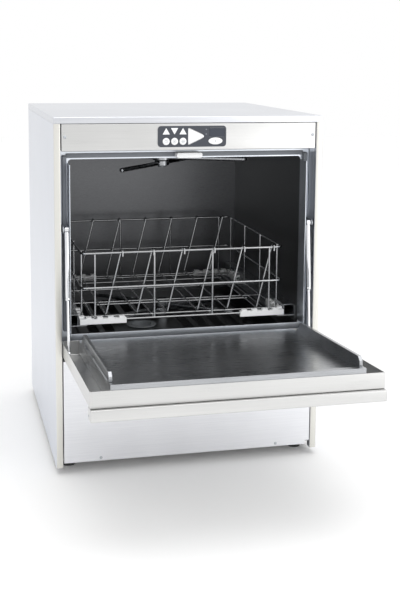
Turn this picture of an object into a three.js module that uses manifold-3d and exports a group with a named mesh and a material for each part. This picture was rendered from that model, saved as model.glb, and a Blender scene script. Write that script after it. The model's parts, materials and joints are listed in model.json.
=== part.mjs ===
// Undercounter glass and tray washer with a drop-down door, drawn with the door open and the rack pushed in.
// Millimetres, X to the right, Y into the machine from the front plane of the cabinet, Z up from the floor.
import * as THREE from 'three';
import { mergeVertices } from 'three/addons/utils/BufferGeometryUtils.js';
import Module from 'manifold-3d';

const wasm = await Module();
wasm.setup();

// ---------------------------------------------------------------- driving dimensions
// Cabinet
const CABINET_WIDTH = 600;
const CABINET_DEPTH = 620;
const CABINET_HEIGHT = 770;      // without the feet
const FOOT_GAP = 15;             // floor to the lowest edge of the side panels
const SHEET = 1.5;               // stainless sheet
const SHEET_GAP = 0.4;           // joint between neighbouring sheets
const STILE_WIDTH = 15;          // front return of each side panel
const STILE_DEPTH = 18;
const REAR_RETURN = 20;
const TOP_EDGE = 14;             // folded edge of the top panel
const FASCIA_HEIGHT = 59;        // control fascia, top panel to door
const FASCIA_RETURN = 12;
const LOWER_PANEL_LIFT = 10;     // lower front panel above the side panels' lowest edge
const LOWER_PANEL_RETURN = 15;
const PANEL_SIDE_GAP = 1.8;      // fascia and lower panel to the stiles
const FASCIA_SCREW_INSET = 7.2;  // screw to the end of the fascia
const FASCIA_SCREW_HOLE = 3.6;
const BASE_FRAME_HEIGHT = 30;

// Door and its hinge line
const DOOR_PIVOT_Z = 262;        // above the side panels' lowest edge
const DOOR_LENGTH = 431.7;       // pivot to tip
const DOOR_TAIL = 10;            // behind the pivot
const DOOR_THICKNESS = 32;
const DOOR_PIVOT_INSET = 14;     // pivot behind the outer face
const DOOR_SIDE_GAP = 1.2;       // door to stile
const DOOR_OPEN_TILT = 3.2;      // degrees that the open door stays above level
const HINGE_PIN = 8;
const HINGE_CLEARANCE = 0.3;
const DOOR_GUIDE_CLEARANCE = 1.5; // guide to the rack's shoes
const STOP_BAR_HEIGHT = 10;      // raised bar at the tip of the inner pan
const STOP_BAR_LENGTH = 16;
const DOOR_GUIDE_HEIGHT = 28;
const DOOR_GUIDE_WIDTH = 6.5;
const HANDLE_DROP = 22.4;        // handle lip proud of the outer face
const HANDLE_REACH = 9.5;        // handle lip beyond the tip
const HANDLE_LENGTH = 34;
const HANDLE_HOOK = 6;

// Gas struts
const STRUT_SIDE_GAP = 12.1;     // strut line to the inner edge of a stile
const STRUT_TOP_Z = 528;         // upper pivot, above the side panels' lowest edge
const STRUT_TOP_Y = 10;
const STRUT_TUBE = 11;
const STRUT_TUBE_BORE = 7.4;
const STRUT_TUBE_LENGTH = 152;
const STRUT_ROD = 6;
const STRUT_ROD_LENGTH = 190;
const STRUT_FOOT_U = 29;         // lower pivot along the door
const STRUT_FOOT_W = -3;         // lower pivot across the door
const STRUT_PIN = 6;
const STRUT_EYE = 14;

// Wash chamber
const CHAMBER_SIDE_GAP = 20.2;   // inner edge of a stile to the chamber wall
const CHAMBER_FRONT = 46;        // plane of the front flange
const CHAMBER_REAR_GAP = 23.5;   // chamber to the back of the cabinet
const CHAMBER_FLOOR_Z = 252;
const CHAMBER_CEILING_Z = 676;
const CHAMBER_CORNER = 8;
const CHAMBER_SILL_Z = 288;
const SIDE_LIP_FRONT = 6;        // side walls run forward into the door
const BASIN_FRONT = 120;
const BASIN_REAR = 520;
const BASIN_HALF_TOP = 215;
const BASIN_HALF_BOTTOM = 120;
const BASIN_FLOOR_Z = 165;
const SEAL_WIDTH = 10;
const SEAL_SIDE_DEPTH = 11.7;
const SEAL_TOP_DEPTH = 2.7;

// Rack and the rails it slides on
const RACK_SIZE = 466;           // centre to centre of the square rings
const RACK_FLOOR_Z = 303;        // underside of the corner shoes
const RACK_HEIGHT = 160;         // underside to the centre of the top ring
const RACK_MIDDLE = 81.5;
const RACK_FRONT_IN = 70;        // front ring with the rack pushed in
const RACK_WIRE = 5;
const DIVIDER_WIRE = 4;
const WIRE_SIDES = 4;
const UPRIGHT_INSET = 30;        // outermost uprights from the corners
const RACK_CORNER = 12;
const SHOE_LENGTH = 105;
const SHOE_PROUD = 5;
const SHOE_HEIGHT = 12;
const SHOE_TOOTH = 4;
const DIVIDER_COUNT = 6;
const DIVIDER_FOOT_MARGIN = 55.6; // first support's foot from the left ring
const DIVIDER_HOOK_MARGIN = 21;  // last support's hook from the right ring
const DIVIDER_LEAN = 36;         // sideways from foot to hook
const DIVIDER_RAIL = 120;        // cross wires that join the supports, from the middle
const RAIL_UNDER = 10.6;         // ledge under the rings
const RAIL_UPSTAND = 22;
const RAIL_CLEARANCE = 0.5;

// Spray arms
const ARM_RADIUS = 212;
const WASH_ARM_WIDTH = 34;
const WASH_ARM_HEIGHT = 12;
const RINSE_ARM_TUBE = 10;
const HUB_RADIUS = 24;
const POST_RADIUS = 9;
const BEARING_CLEARANCE = 0.4;
const LOWER_ARM_Z = 262;
const UPPER_ARM_Z = 646;

// Controls
const OVERLAY_WIDTH = 152;
const OVERLAY_HEIGHT = 45.5;
const OVERLAY_CORNER = 7;
const OVERLAY_THICKNESS = 1.2;
const KEY_CLEARANCE = 0.35;
const KEY_PROUD = 0.8;
const KEY_DEPTH = 5;
const PROGRAM_KEY = 15.4;
const START_KEY_WIDTH = 36;
const START_KEY_HEIGHT = 37.5;
const POWER_KEY_WIDTH = 31.6;
const POWER_KEY_HEIGHT = 15;
const WINDOW_WIDTH = 33.8;
const WINDOW_HEIGHT = 19.4;

// Door catch
const CATCH_WIDTH = 58;
const CATCH_HEIGHT = 12.5;
const CATCH_DEPTH = 22.6;
const CATCH_FRONT = 20;

// Feet
const FOOT_PAD = 31;
const FOOT_PAD_HEIGHT = 9;
const FOOT_STEM = 10;
const FOOT_STEM_TOP = 48;
const FOOT_INSET_X = 33;
const FOOT_INSET_Y = 62;

// ---------------------------------------------------------------- derived places
const halfWidth = CABINET_WIDTH / 2;
const cabinetTop = FOOT_GAP + CABINET_HEIGHT;
const panelTop = cabinetTop - TOP_EDGE - SHEET_GAP;          // top of side panels and fascia
const fasciaBottom = panelTop - FASCIA_HEIGHT;
const stileInner = halfWidth - STILE_WIDTH;
const frontHalf = stileInner - PANEL_SIDE_GAP;
const level = (z) => FOOT_GAP + z;
const pivot = { y: DOOR_PIVOT_INSET, z: level(DOOR_PIVOT_Z) };
const doorHalf = stileInner - DOOR_SIDE_GAP;
const strutX = stileInner - STRUT_SIDE_GAP;
const doorOuterW = -DOOR_PIVOT_INSET;
const doorInnerW = DOOR_THICKNESS - DOOR_PIVOT_INSET;
const rackHalf = RACK_SIZE / 2;
const doorGuideInner = rackHalf + SHOE_PROUD + DOOR_GUIDE_CLEARANCE;
const innerPanHalf = doorGuideInner + DOOR_GUIDE_WIDTH;
const uprightFar = rackHalf - UPRIGHT_INSET;
const uprightNear = uprightFar / 3;
const rackFloor = level(RACK_FLOOR_Z);
const rackMidY = RACK_FRONT_IN + rackHalf;
const chamberHalf = stileInner - CHAMBER_SIDE_GAP;
const chamberRear = CABINET_DEPTH - CHAMBER_REAR_GAP;
const armY = (CHAMBER_FRONT + chamberRear) / 2;
const ceiling = level(CHAMBER_CEILING_Z);
const chamberFloor = level(CHAMBER_FLOOR_Z);
const basinFloor = level(BASIN_FLOOR_Z);
const baseBottom = level(LOWER_PANEL_LIFT);
const baseTop = baseBottom + BASE_FRAME_HEIGHT;
const overlayMidZ = fasciaBottom + 30;

// ---------------------------------------------------------------- solids
/** A closed geometry as a solid that can be joined and cut. */
function solid(geometry) {
  geometry.deleteAttribute('normal');
  geometry.deleteAttribute('uv');
  const merged = mergeVertices(geometry, 1e-5);
  return new wasm.Manifold(new wasm.Mesh({
    numProp: 3,
    vertProperties: new Float32Array(merged.attributes.position.array),
    triVerts: new Uint32Array(merged.index.array),
  }));
}

/** A box between two corners. */
function block(x0, x1, y0, y1, z0, z1) {
  const geometry = new THREE.BoxGeometry(x1 - x0, y1 - y0, z1 - z0);
  geometry.translate((x0 + x1) / 2, (y0 + y1) / 2, (z0 + z1) / 2);
  return solid(geometry);
}

/** An outline pushed straight along one axis; the outline's two numbers are the other two axes in order. */
function prism(outline, axis, from, to) {
  const options = { depth: to - from, bevelEnabled: false, curveSegments: 3 };
  const geometry = new THREE.ExtrudeGeometry(outline, options);
  geometry.translate(0, 0, from);
  const turn = new THREE.Matrix4();
  if (axis === 'x') turn.set(0, 0, 1, 0, 1, 0, 0, 0, 0, 1, 0, 0, 0, 0, 0, 1);
  if (axis === 'y') turn.set(1, 0, 0, 0, 0, 0, -1, 0, 0, 1, 0, 0, 0, 0, 0, 1);
  if (axis === 'y') {
    geometry.translate(0, 0, -(from + to));
  }
  geometry.applyMatrix4(turn);
  return solid(geometry);
}

/** A rounded rectangle centred on a point. */
function roundedOutline(width, height, radius, cx = 0, cy = 0) {
  const w = width / 2 - radius;
  const h = height / 2 - radius;
  const shape = new THREE.Shape();
  shape.absarc(cx + w, cy + h, radius, 0, Math.PI / 2);
  shape.absarc(cx - w, cy + h, radius, Math.PI / 2, Math.PI);
  shape.absarc(cx - w, cy - h, radius, Math.PI, 1.5 * Math.PI);
  shape.absarc(cx + w, cy - h, radius, 1.5 * Math.PI, 2 * Math.PI);
  shape.closePath();
  return shape;
}

/** A polygon outline through the given corners. */
function polygon(points) {
  return new THREE.Shape(points.map(([a, b]) => new THREE.Vector2(a, b)));
}

/** A round bar from one point to another. */
function bar(from, to, radius, sides = 16) {
  const a = new THREE.Vector3(...from);
  const b = new THREE.Vector3(...to);
  const geometry = new THREE.CylinderGeometry(radius, radius, a.distanceTo(b), sides);
  const up = new THREE.Vector3(0, 1, 0);
  geometry.applyQuaternion(new THREE.Quaternion().setFromUnitVectors(up, b.clone().sub(a).normalize()));
  geometry.translate((a.x + b.x) / 2, (a.y + b.y) / 2, (a.z + b.z) / 2);
  return solid(geometry);
}

/** A turned shape on a vertical axis; the profile is a list of [radius, z]. */
function turned(profile, x, y, sides = 16) {
  const points = profile.map(([r, z]) => new THREE.Vector2(r, z));
  const geometry = new THREE.LatheGeometry(points, sides);
  geometry.rotateX(Math.PI / 2);
  geometry.translate(x, y, 0);
  return solid(geometry);
}

/** A round section carried along a smooth path. */
function pipe(points, radius, steps, sides = 10) {
  const path = new THREE.CatmullRomCurve3(points.map((p) => new THREE.Vector3(...p)), false, 'centripetal');
  const section = new THREE.Shape();
  section.absarc(0, 0, radius, 0, 2 * Math.PI);
  const options = { steps, extrudePath: path, curveSegments: sides, bevelEnabled: false };
  return solid(new THREE.ExtrudeGeometry(section, options));
}

const join = (first, ...rest) => rest.reduce((sum, item) => sum.add(item), first);
const cut = (first, ...rest) => rest.reduce((sum, item) => sum.subtract(item), first);

/** The same solid on the other side of the machine. */
function mirrored(item) {
  return item.mirror([1, 0, 0]);
}

/** A folded tray: a box with one face left open. */
function tray(x0, x1, y0, y1, z0, z1, open) {
  const hollow = {
    x0: x0 + SHEET, x1: x1 - SHEET, y0: y0 + SHEET, y1: y1 - SHEET, z0: z0 + SHEET, z1: z1 - SHEET,
  };
  const past = { x0: x0 - 1, x1: x1 + 1, y0: y0 - 1, y1: y1 + 1, z0: z0 - 1, z1: z1 + 1 };
  hollow[open] = past[open];
  const inner = block(hollow.x0, hollow.x1, hollow.y0, hollow.y1, hollow.z0, hollow.z1);
  return cut(block(x0, x1, y0, y1, z0, z1), inner);
}

// ---------------------------------------------------------------- scene graph
const machine = new THREE.Group();
const finish = {
  steel: { color: 0xd9dbdd, roughness: 0.34, metalness: 0.9 },
  darkSteel: { color: 0x8d9196, roughness: 0.4, metalness: 0.9 },
  chrome: { color: 0xeef0f2, roughness: 0.14, metalness: 1 },
  black: { color: 0x1c1d1f, roughness: 0.55, metalness: 0 },
  rubber: { color: 0x2a2b2d, roughness: 0.8, metalness: 0 },
  white: { color: 0xf1f1ee, roughness: 0.4, metalness: 0 },
  grey: { color: 0x8a8d90, roughness: 0.5, metalness: 0 },
  slate: { color: 0x454b52, roughness: 0.35, metalness: 0 },
  green: { color: 0x2f5d3c, roughness: 0.6, metalness: 0 },
  brass: { color: 0xb59a57, roughness: 0.35, metalness: 1 },
};

function add(name, item, look, group = machine) {
  const mesh = item.getMesh();
  const geometry = new THREE.BufferGeometry();
  geometry.setAttribute('position', new THREE.BufferAttribute(new Float32Array(mesh.vertProperties), 3));
  geometry.setIndex(new THREE.BufferAttribute(new Uint32Array(mesh.triVerts), 1));
  geometry.computeVertexNormals();
  const node = new THREE.Mesh(geometry, new THREE.MeshStandardMaterial(finish[look]));
  node.name = name;
  group.add(node);
  return node;
}

// ---------------------------------------------------------------- cabinet
function buildTopPanel() {
  const panel = tray(-halfWidth, halfWidth, 0, CABINET_DEPTH, cabinetTop - TOP_EDGE, cabinetTop, 'z0');
  add('top_panel', panel, 'steel');
}

function buildSidePanels() {
  const profile = polygon([
    [-halfWidth, 0], [-stileInner, 0], [-stileInner, STILE_DEPTH], [-stileInner - SHEET, STILE_DEPTH],
    [-stileInner - SHEET, SHEET], [-halfWidth + SHEET, SHEET], [-halfWidth + SHEET, CABINET_DEPTH - SHEET],
    [-halfWidth + REAR_RETURN, CABINET_DEPTH - SHEET], [-halfWidth + REAR_RETURN, CABINET_DEPTH],
    [-halfWidth, CABINET_DEPTH],
  ]);
  const side = prism(profile, 'z', FOOT_GAP, panelTop);
  add('side_panel_left', side, 'steel');
  add('side_panel_right', mirrored(side), 'steel');
}

const rearFace = CABINET_DEPTH - SHEET - SHEET_GAP;
const OUTLET = { x: -150, z: 95, radius: 17 };
const INLET = { x: 150, z: 110, radius: 14 };
const GLAND = { x: 215, z: 110, radius: 11 };

function buildRearPanel() {
  const sideGap = SHEET + 1;
  const sheet = block(
    -halfWidth + sideGap, halfWidth - sideGap, rearFace - SHEET, rearFace, level(45), panelTop,
  );
  const holes = [OUTLET, INLET, GLAND].map(
    (h) => bar([h.x, rearFace - 8, h.z], [h.x, rearFace + 8, h.z], h.radius),
  );
  const slots = [];
  for (let row = 0; row < 6; row += 1) {
    const z = level(90) + row * 12;
    slots.push(block(-60, 60, rearFace - 8, rearFace + 8, z, z + 4));
  }
  add('rear_panel', cut(sheet, ...holes, ...slots), 'steel');
}

function buildBaseFrame() {
  const half = halfWidth - SHEET - SHEET_GAP;
  const y0 = 20;
  const y1 = rearFace - SHEET - SHEET_GAP;
  const stemHoles = footPlaces().map(
    ([x, y]) => bar([x, y, baseBottom - 2], [x, y, baseBottom + 8], FOOT_STEM / 2 + 0.4),
  );
  const vents = [];
  for (const x of [-150, 0, 150]) {
    for (const y of [110, 160, 460, 510]) {
      vents.push(block(x - 40, x + 40, y, y + 8, baseBottom - 1, baseBottom + SHEET + 1));
    }
  }
  const frame = cut(tray(-half, half, y0, y1, baseBottom, baseTop, 'z1'), ...stemHoles, ...vents);
  add('base_frame', frame, 'darkSteel');
}

function buildLowerFrontPanel() {
  const top = pivot.z - DOOR_PIVOT_INSET - 8;
  const bottom = level(LOWER_PANEL_LIFT);
  const panel = tray(-frontHalf, frontHalf, 0, LOWER_PANEL_RETURN, bottom, top, 'y1');
  const notch = block(frontHalf - 10, frontHalf + 1, -1, LOWER_PANEL_RETURN + 1, bottom - 1, bottom + 9);
  const screwHoles = [-202, 202].map((x) => bar([x, -1, bottom + 7], [x, SHEET + 1, bottom + 7], 1.8, 12));
  add('lower_front_panel', cut(panel, notch, ...screwHoles), 'steel');
}

function footPlaces() {
  const x = halfWidth - FOOT_INSET_X;
  const rear = CABINET_DEPTH - FOOT_INSET_Y;
  return [[-x, FOOT_INSET_Y], [x, FOOT_INSET_Y], [-x, rear], [x, rear]];
}

function buildFeet() {
  const names = ['foot_front_left', 'foot_front_right', 'foot_rear_left', 'foot_rear_right'];
  footPlaces().forEach(([x, y], index) => {
    const pad = FOOT_PAD / 2;
    const stem = FOOT_STEM / 2;
    const profile = [
      [0, 0], [pad - 1.5, 0], [pad, 1.5], [pad, FOOT_PAD_HEIGHT - 3], [stem + 3, FOOT_PAD_HEIGHT],
      [stem + 3, FOOT_PAD_HEIGHT + 6], [stem, FOOT_PAD_HEIGHT + 6],
      [stem, FOOT_STEM_TOP], [0, FOOT_STEM_TOP],
    ];
    add(names[index], turned(profile, x, y, 16), 'black');
  });
}

// ---------------------------------------------------------------- control fascia
const keyHoleY = [-6, 12];

function startKeyOutline(grow) {
  const w = START_KEY_WIDTH / 2 + grow;
  const h = START_KEY_HEIGHT / 2 + grow;
  const shape = new THREE.Shape();
  const cx = 8.8;
  const cz = overlayMidZ;
  shape.moveTo(cx - w, cz - h + 4);
  shape.quadraticCurveTo(cx - w, cz - h, cx - w + 4, cz - h + 1.2);
  shape.lineTo(cx + w - 3, cz - 4);
  shape.quadraticCurveTo(cx + w + 1.5, cz, cx + w - 3, cz + 4);
  shape.lineTo(cx - w + 4, cz + h - 1.2);
  shape.quadraticCurveTo(cx - w, cz + h, cx - w, cz + h - 4);
  shape.closePath();
  return shape;
}

const programKeys = [
  { name: 'program_key_1', x: -57.8 },
  { name: 'program_key_2', x: -39.2 },
  { name: 'program_key_3', x: -20.6 },
];
const programKeyZ = overlayMidZ - 10.5;
const POWER_KEY_X = 51.9;

function ovalOutline(width, height, cx, cz, grow) {
  const sides = 32;
  const points = Array.from({ length: sides }, (_, k) => {
    const turn = (2 * Math.PI * k) / sides;
    return [cx + (width / 2 + grow) * Math.cos(turn), cz + (height / 2 + grow) * Math.sin(turn)];
  });
  return polygon(points);
}

function roundKey(x, z, radius, y0, y1) {
  return bar([x, y0, z], [x, y1, z], radius, 24);
}

function buildControls() {
  const overlayOutline = roundedOutline(OVERLAY_WIDTH, OVERLAY_HEIGHT, OVERLAY_CORNER, 0, overlayMidZ);
  const front = -SHEET_GAP - OVERLAY_THICKNESS;
  const windowX = 55.1;
  const windowZ = overlayMidZ + 8.2;

  const fasciaTop = panelTop - SHEET_GAP;
  const fascia = tray(-frontHalf, frontHalf, 0, FASCIA_RETURN, fasciaBottom, fasciaTop, 'y1');
  const opening = block(
    -OVERLAY_WIDTH / 2 + 4, OVERLAY_WIDTH / 2 - 4, -1, SHEET + 1,
    overlayMidZ - OVERLAY_HEIGHT / 2 + 1.6, overlayMidZ + OVERLAY_HEIGHT / 2 - 1.6,
  );
  const screwX = frontHalf - FASCIA_SCREW_INSET;
  const screwZ = overlayMidZ + 1;
  const screwHoles = [-screwX, screwX].map(
    (x) => bar([x, -1, screwZ], [x, SHEET + 1, screwZ], FASCIA_SCREW_HOLE / 2, 12),
  );
  add('control_fascia', cut(fascia, opening, ...screwHoles), 'steel');

  const keyHoles = [
    ...programKeys.map((key) => roundKey(key.x, programKeyZ, PROGRAM_KEY / 2 + KEY_CLEARANCE, ...keyHoleY)),
    prism(startKeyOutline(KEY_CLEARANCE), 'y', ...keyHoleY),
    prism(
      ovalOutline(POWER_KEY_WIDTH, POWER_KEY_HEIGHT, POWER_KEY_X, programKeyZ, KEY_CLEARANCE),
      'y', ...keyHoleY,
    ),
  ];
  const windowOutline = (grow) => roundedOutline(
    WINDOW_WIDTH + 2 * grow, WINDOW_HEIGHT + 2 * grow, 2 + grow, windowX, windowZ,
  );
  const overlay = cut(
    prism(overlayOutline, 'y', front, -SHEET_GAP),
    ...keyHoles, prism(windowOutline(KEY_CLEARANCE), 'y', ...keyHoleY),
  );
  add('control_overlay', overlay, 'slate');
  add('display_window', prism(windowOutline(0), 'y', front - 0.2, -SHEET_GAP + 2), 'black');

  const keyFront = front - KEY_PROUD;
  const keyRear = keyFront + KEY_DEPTH;
  programKeys.forEach((key) => {
    add(key.name, roundKey(key.x, programKeyZ, PROGRAM_KEY / 2, keyFront, keyRear), 'white');
  });
  add('start_key', prism(startKeyOutline(0), 'y', keyFront, keyRear), 'white');
  const power = ovalOutline(POWER_KEY_WIDTH, POWER_KEY_HEIGHT, POWER_KEY_X, programKeyZ, 0);
  add('power_key', prism(power, 'y', keyFront, keyRear), 'white');

  const board = join(
    block(-70, 70, 8, 9.6, overlayMidZ - 21, overlayMidZ + 21),
    block(-55, -30, 9, 20, overlayMidZ - 15, overlayMidZ + 15),
    block(10, 52, 9, 16, overlayMidZ - 12, overlayMidZ + 4),
    block(-20, 0, 9, 14, overlayMidZ - 18, overlayMidZ + 2),
  );
  add('control_board', board, 'green');
}

// ---------------------------------------------------------------- wash chamber
function buildWashTank() {
  const half = chamberHalf;
  const outerHalf = half + SHEET;
  const front = CHAMBER_FRONT;
  const rear = chamberRear;
  const middleZ = (chamberFloor + ceiling) / 2;
  const inner = roundedOutline(2 * half, ceiling - chamberFloor, CHAMBER_CORNER, 0, middleZ);
  const outer = roundedOutline(
    2 * outerHalf, ceiling - chamberFloor + 2 * SHEET, CHAMBER_CORNER + SHEET, 0, middleZ,
  );
  const basin = (grow) => prism(polygon([
    [-BASIN_HALF_TOP - grow, chamberFloor + 4], [-BASIN_HALF_TOP - grow, chamberFloor - 6],
    [-BASIN_HALF_BOTTOM - grow, basinFloor - grow], [BASIN_HALF_BOTTOM + grow, basinFloor - grow],
    [BASIN_HALF_TOP + grow, chamberFloor - 6], [BASIN_HALF_TOP + grow, chamberFloor + 4],
  ].reverse()), 'y', BASIN_FRONT - grow, BASIN_REAR + grow);
  const flange = join(
    block(
      -stileInner + 1, stileInner - 1, front, front + SHEET, level(CHAMBER_SILL_Z) - 36, fasciaBottom,
    ),
  );
  const sill = level(CHAMBER_SILL_Z);
  const lipTop = ceiling - CHAMBER_CORNER;
  const lip = (s) => block(
    Math.min(s * half, s * outerHalf), Math.max(s * half, s * outerHalf),
    SIDE_LIP_FRONT, front + 2, sill + 6, lipTop,
  );
  let tank = join(prism(outer, 'y', front, rear + SHEET), flange, basin(SHEET));
  tank = cut(tank, prism(inner, 'y', front + SHEET, rear), basin(0));
  const mouth = roundedOutline(2 * half, ceiling - sill + 2 * CHAMBER_CORNER, CHAMBER_CORNER, 0,
    (ceiling + sill) / 2 - CHAMBER_CORNER);
  const aboveSill = block(-half - 1, half + 1, front - 1, front + SHEET + 1, sill, ceiling + 1);
  tank = cut(tank, prism(mouth, 'y', front - 1, front + SHEET + 1).intersect(aboveSill));
  tank = join(tank, lip(-1), lip(1));
  const drains = [
    bar([0, armY, basinFloor - 4], [0, armY, basinFloor + 3], POST_RADIUS + BEARING_CLEARANCE),
    bar([-70, 220, basinFloor - 4], [-70, 220, basinFloor + 3], 16),
    bar([70, 220, basinFloor - 4], [70, 220, basinFloor + 3], 26),
    bar([0, armY, ceiling - 3], [0, armY, ceiling + 4], POST_RADIUS + BEARING_CLEARANCE),
    bar([-60, BASIN_REAR - 3, basinFloor + 30], [-60, BASIN_REAR + 4, basinFloor + 30], 5.5),
    bar([60, BASIN_REAR - 3, basinFloor + 30], [60, BASIN_REAR + 4, basinFloor + 30], 5.5),
  ];
  add('wash_tank', cut(tank, ...drains), 'darkSteel');
}

function buildSeal() {
  const back = CHAMBER_FRONT - 0.3;
  const x1 = chamberHalf + SHEET + 2.2;
  const z0 = level(CHAMBER_SILL_Z) + 10;
  const z1 = ceiling + 3;
  const sideFront = back - SEAL_SIDE_DEPTH;
  const seal = join(
    block(-x1 - SEAL_WIDTH, -x1, sideFront, back, z0, z1 + 6),
    block(x1, x1 + SEAL_WIDTH, sideFront, back, z0, z1 + 6),
    block(-x1 - SEAL_WIDTH, x1 + SEAL_WIDTH, back - SEAL_TOP_DEPTH, back, z1, z1 + SEAL_WIDTH),
  );
  add('door_seal', seal, 'rubber');
}

function buildRackGuides() {
  const wall = chamberHalf - 0.4;
  const top = rackFloor - RAIL_CLEARANCE;
  const y0 = CHAMBER_FRONT + SHEET + 16;
  const y1 = chamberRear - 1;
  const upstand = rackHalf + SHOE_PROUD + 2.5;
  const rail = join(
    block(-wall, -rackHalf + RAIL_UNDER, y0, y1, top - 2, top),
    block(-wall, -wall + 2, y0, y1, top - 14, top + RAIL_UPSTAND),
    block(-upstand - 1.5, -upstand, y0 + 12, y1, top - 1, top + RAIL_UPSTAND),
    block(-wall, -upstand, y0 + 12, y1, top + RAIL_UPSTAND - 1.5, top + RAIL_UPSTAND),
  );
  add('rack_guide_left', rail, 'steel');
  add('rack_guide_right', mirrored(rail), 'steel');
}

function buildFilters() {
  const top = chamberFloor + 3;
  const gap = 1;
  const half = BASIN_HALF_TOP + 10;
  let filter = block(-half, half, BASIN_FRONT - 8, BASIN_REAR + 8, top - 2 + gap, top + gap);
  filter = cut(filter, bar([0, armY, top - 6], [0, armY, top + 6], POST_RADIUS + 6));
  filter = cut(filter, bar([-70, 220, top - 6], [-70, 220, top + 6], 32));
  for (let column = -5; column <= 5; column += 1) {
    const x = column * 38;
    const overPost = Math.abs(x) < POST_RADIUS + 22;
    const overStrainer = Math.abs(x + 70) < 50;
    if (!overPost && !overStrainer) {
      filter = cut(filter, block(x - 12, x + 12, BASIN_FRONT + 20, armY - 20, top - 6, top + 6));
    }
    if (!overPost) {
      filter = cut(filter, block(x - 12, x + 12, armY + 20, BASIN_REAR - 20, top - 6, top + 6));
    }
  }
  add('tank_filter', filter, 'darkSteel');

  const strainer = turned([
    [24, basinFloor + 2], [27, basinFloor + 2], [27, top + 2], [36, top + 2], [36, top + 4], [24, top + 4],
    [24, basinFloor + 2],
  ], -70, 220);
  add('sump_strainer', strainer, 'grey');

  const overflow = turned([
    [10, basinFloor + 1], [15, basinFloor + 1], [15, basinFloor + 10], [12.5, basinFloor + 12],
    [12.5, top - 14], [10, top - 14], [10, basinFloor + 1],
  ], -70, 220);
  add('overflow_pipe', overflow, 'white');
}

function buildHeater() {
  const z = basinFloor + 30;
  const rod = pipe([
    [-60, BASIN_REAR + 22, z], [-60, BASIN_REAR - 20, z], [-60, armY + 88, z], [-40, armY + 60, z],
    [0, armY + 50, z], [40, armY + 60, z], [60, armY + 88, z], [60, BASIN_REAR - 20, z],
    [60, BASIN_REAR + 22, z],
  ], 4.2, 26, 3);
  add('tank_heater', rod, 'darkSteel');
}

// ---------------------------------------------------------------- spray arms
function washArm(z, turn) {
  const half = WASH_ARM_WIDTH / 2;
  const outline = polygon([
    [-ARM_RADIUS, -half * 0.55], [-40, -half], [40, -half], [ARM_RADIUS, -half * 0.55],
    [ARM_RADIUS, half * 0.55], [40, half], [-40, half], [-ARM_RADIUS, half * 0.55],
  ]);
  let arm = prism(outline, 'z', z, z + WASH_ARM_HEIGHT);
  arm = join(arm, bar([0, 0, z - 2], [0, 0, z + WASH_ARM_HEIGHT + 2], HUB_RADIUS, 20));
  arm = cut(arm, bar([0, 0, z - 10], [0, 0, z + WASH_ARM_HEIGHT + 10], POST_RADIUS + BEARING_CLEARANCE, 20));
  for (let k = 1; k <= 4; k += 1) {
    for (const s of [-1, 1]) {
      const x = s * (30 + k * 40);
      arm = cut(arm, block(x - 9, x + 9, -1.5, 1.5, z + 3, z + WASH_ARM_HEIGHT + 1));
    }
  }
  return arm.rotate([0, 0, turn]).translate([0, armY, 0]);
}

function rinseArm(z, turn) {
  const r = RINSE_ARM_TUBE / 2;
  let arm = join(
    bar([-ARM_RADIUS + 14, 0, z], [ARM_RADIUS - 14, 0, z], r, 12),
    bar([0, 0, z - r - 1], [0, 0, z + r + 1], HUB_RADIUS - 6, 20),
  );
  arm = cut(arm, bar([0, 0, z - 12], [0, 0, z + 12], POST_RADIUS - 3 + BEARING_CLEARANCE, 20));
  return arm.rotate([0, 0, turn]).translate([0, armY, 0]);
}

function buildSprayArms() {
  const lower = level(LOWER_ARM_Z);
  const washTop = lower + WASH_ARM_HEIGHT + 2;
  const rinseZ = washTop + 1.2 + RINSE_ARM_TUBE / 2 + 1;
  const rinseTop = rinseZ + RINSE_ARM_TUBE / 2 + 1;
  const shoulder = lower - 2 - BEARING_CLEARANCE;
  const lowerPost = turned([
    [0, basinFloor - 6], [POST_RADIUS, basinFloor - 6],
    [POST_RADIUS, basinFloor + 1], [POST_RADIUS + 5, basinFloor + 1],
    [POST_RADIUS + 5, shoulder], [POST_RADIUS, shoulder],
    [POST_RADIUS, washTop + 0.4], [POST_RADIUS - 3, washTop + 0.4],
    [POST_RADIUS - 3, rinseTop + 0.4], [POST_RADIUS + 1, rinseTop + 0.4], [POST_RADIUS + 1, rinseTop + 4],
    [0, rinseTop + 4],
  ], 0, armY);
  add('lower_post', lowerPost, 'grey');
  add('lower_wash_arm', washArm(lower, 28), 'steel');
  add('lower_rinse_arm', rinseArm(rinseZ, -40), 'steel');

  const upper = level(UPPER_ARM_Z);
  const washBottom = upper - 2;
  const upperRinseZ = washBottom - 1.2 - RINSE_ARM_TUBE / 2 - 1;
  const rinseBottom = upperRinseZ - RINSE_ARM_TUBE / 2 - 1;
  const upperShoulder = upper + WASH_ARM_HEIGHT + 2 + BEARING_CLEARANCE;
  const upperPost = turned([
    [0, rinseBottom - 4], [POST_RADIUS + 1, rinseBottom - 4], [POST_RADIUS + 1, rinseBottom - 0.4],
    [POST_RADIUS - 3, rinseBottom - 0.4], [POST_RADIUS - 3, washBottom - 0.4],
    [POST_RADIUS, washBottom - 0.4],
    [POST_RADIUS, upperShoulder], [POST_RADIUS + 5, upperShoulder], [POST_RADIUS + 5, ceiling - 0.4],
    [POST_RADIUS, ceiling - 0.4], [POST_RADIUS, ceiling + 8], [0, ceiling + 8],
  ], 0, armY);
  add('upper_post', upperPost, 'grey');
  add('upper_wash_arm', washArm(upper, -25), 'steel');
  add('upper_rinse_arm', rinseArm(upperRinseZ, 50), 'steel');
}

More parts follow.
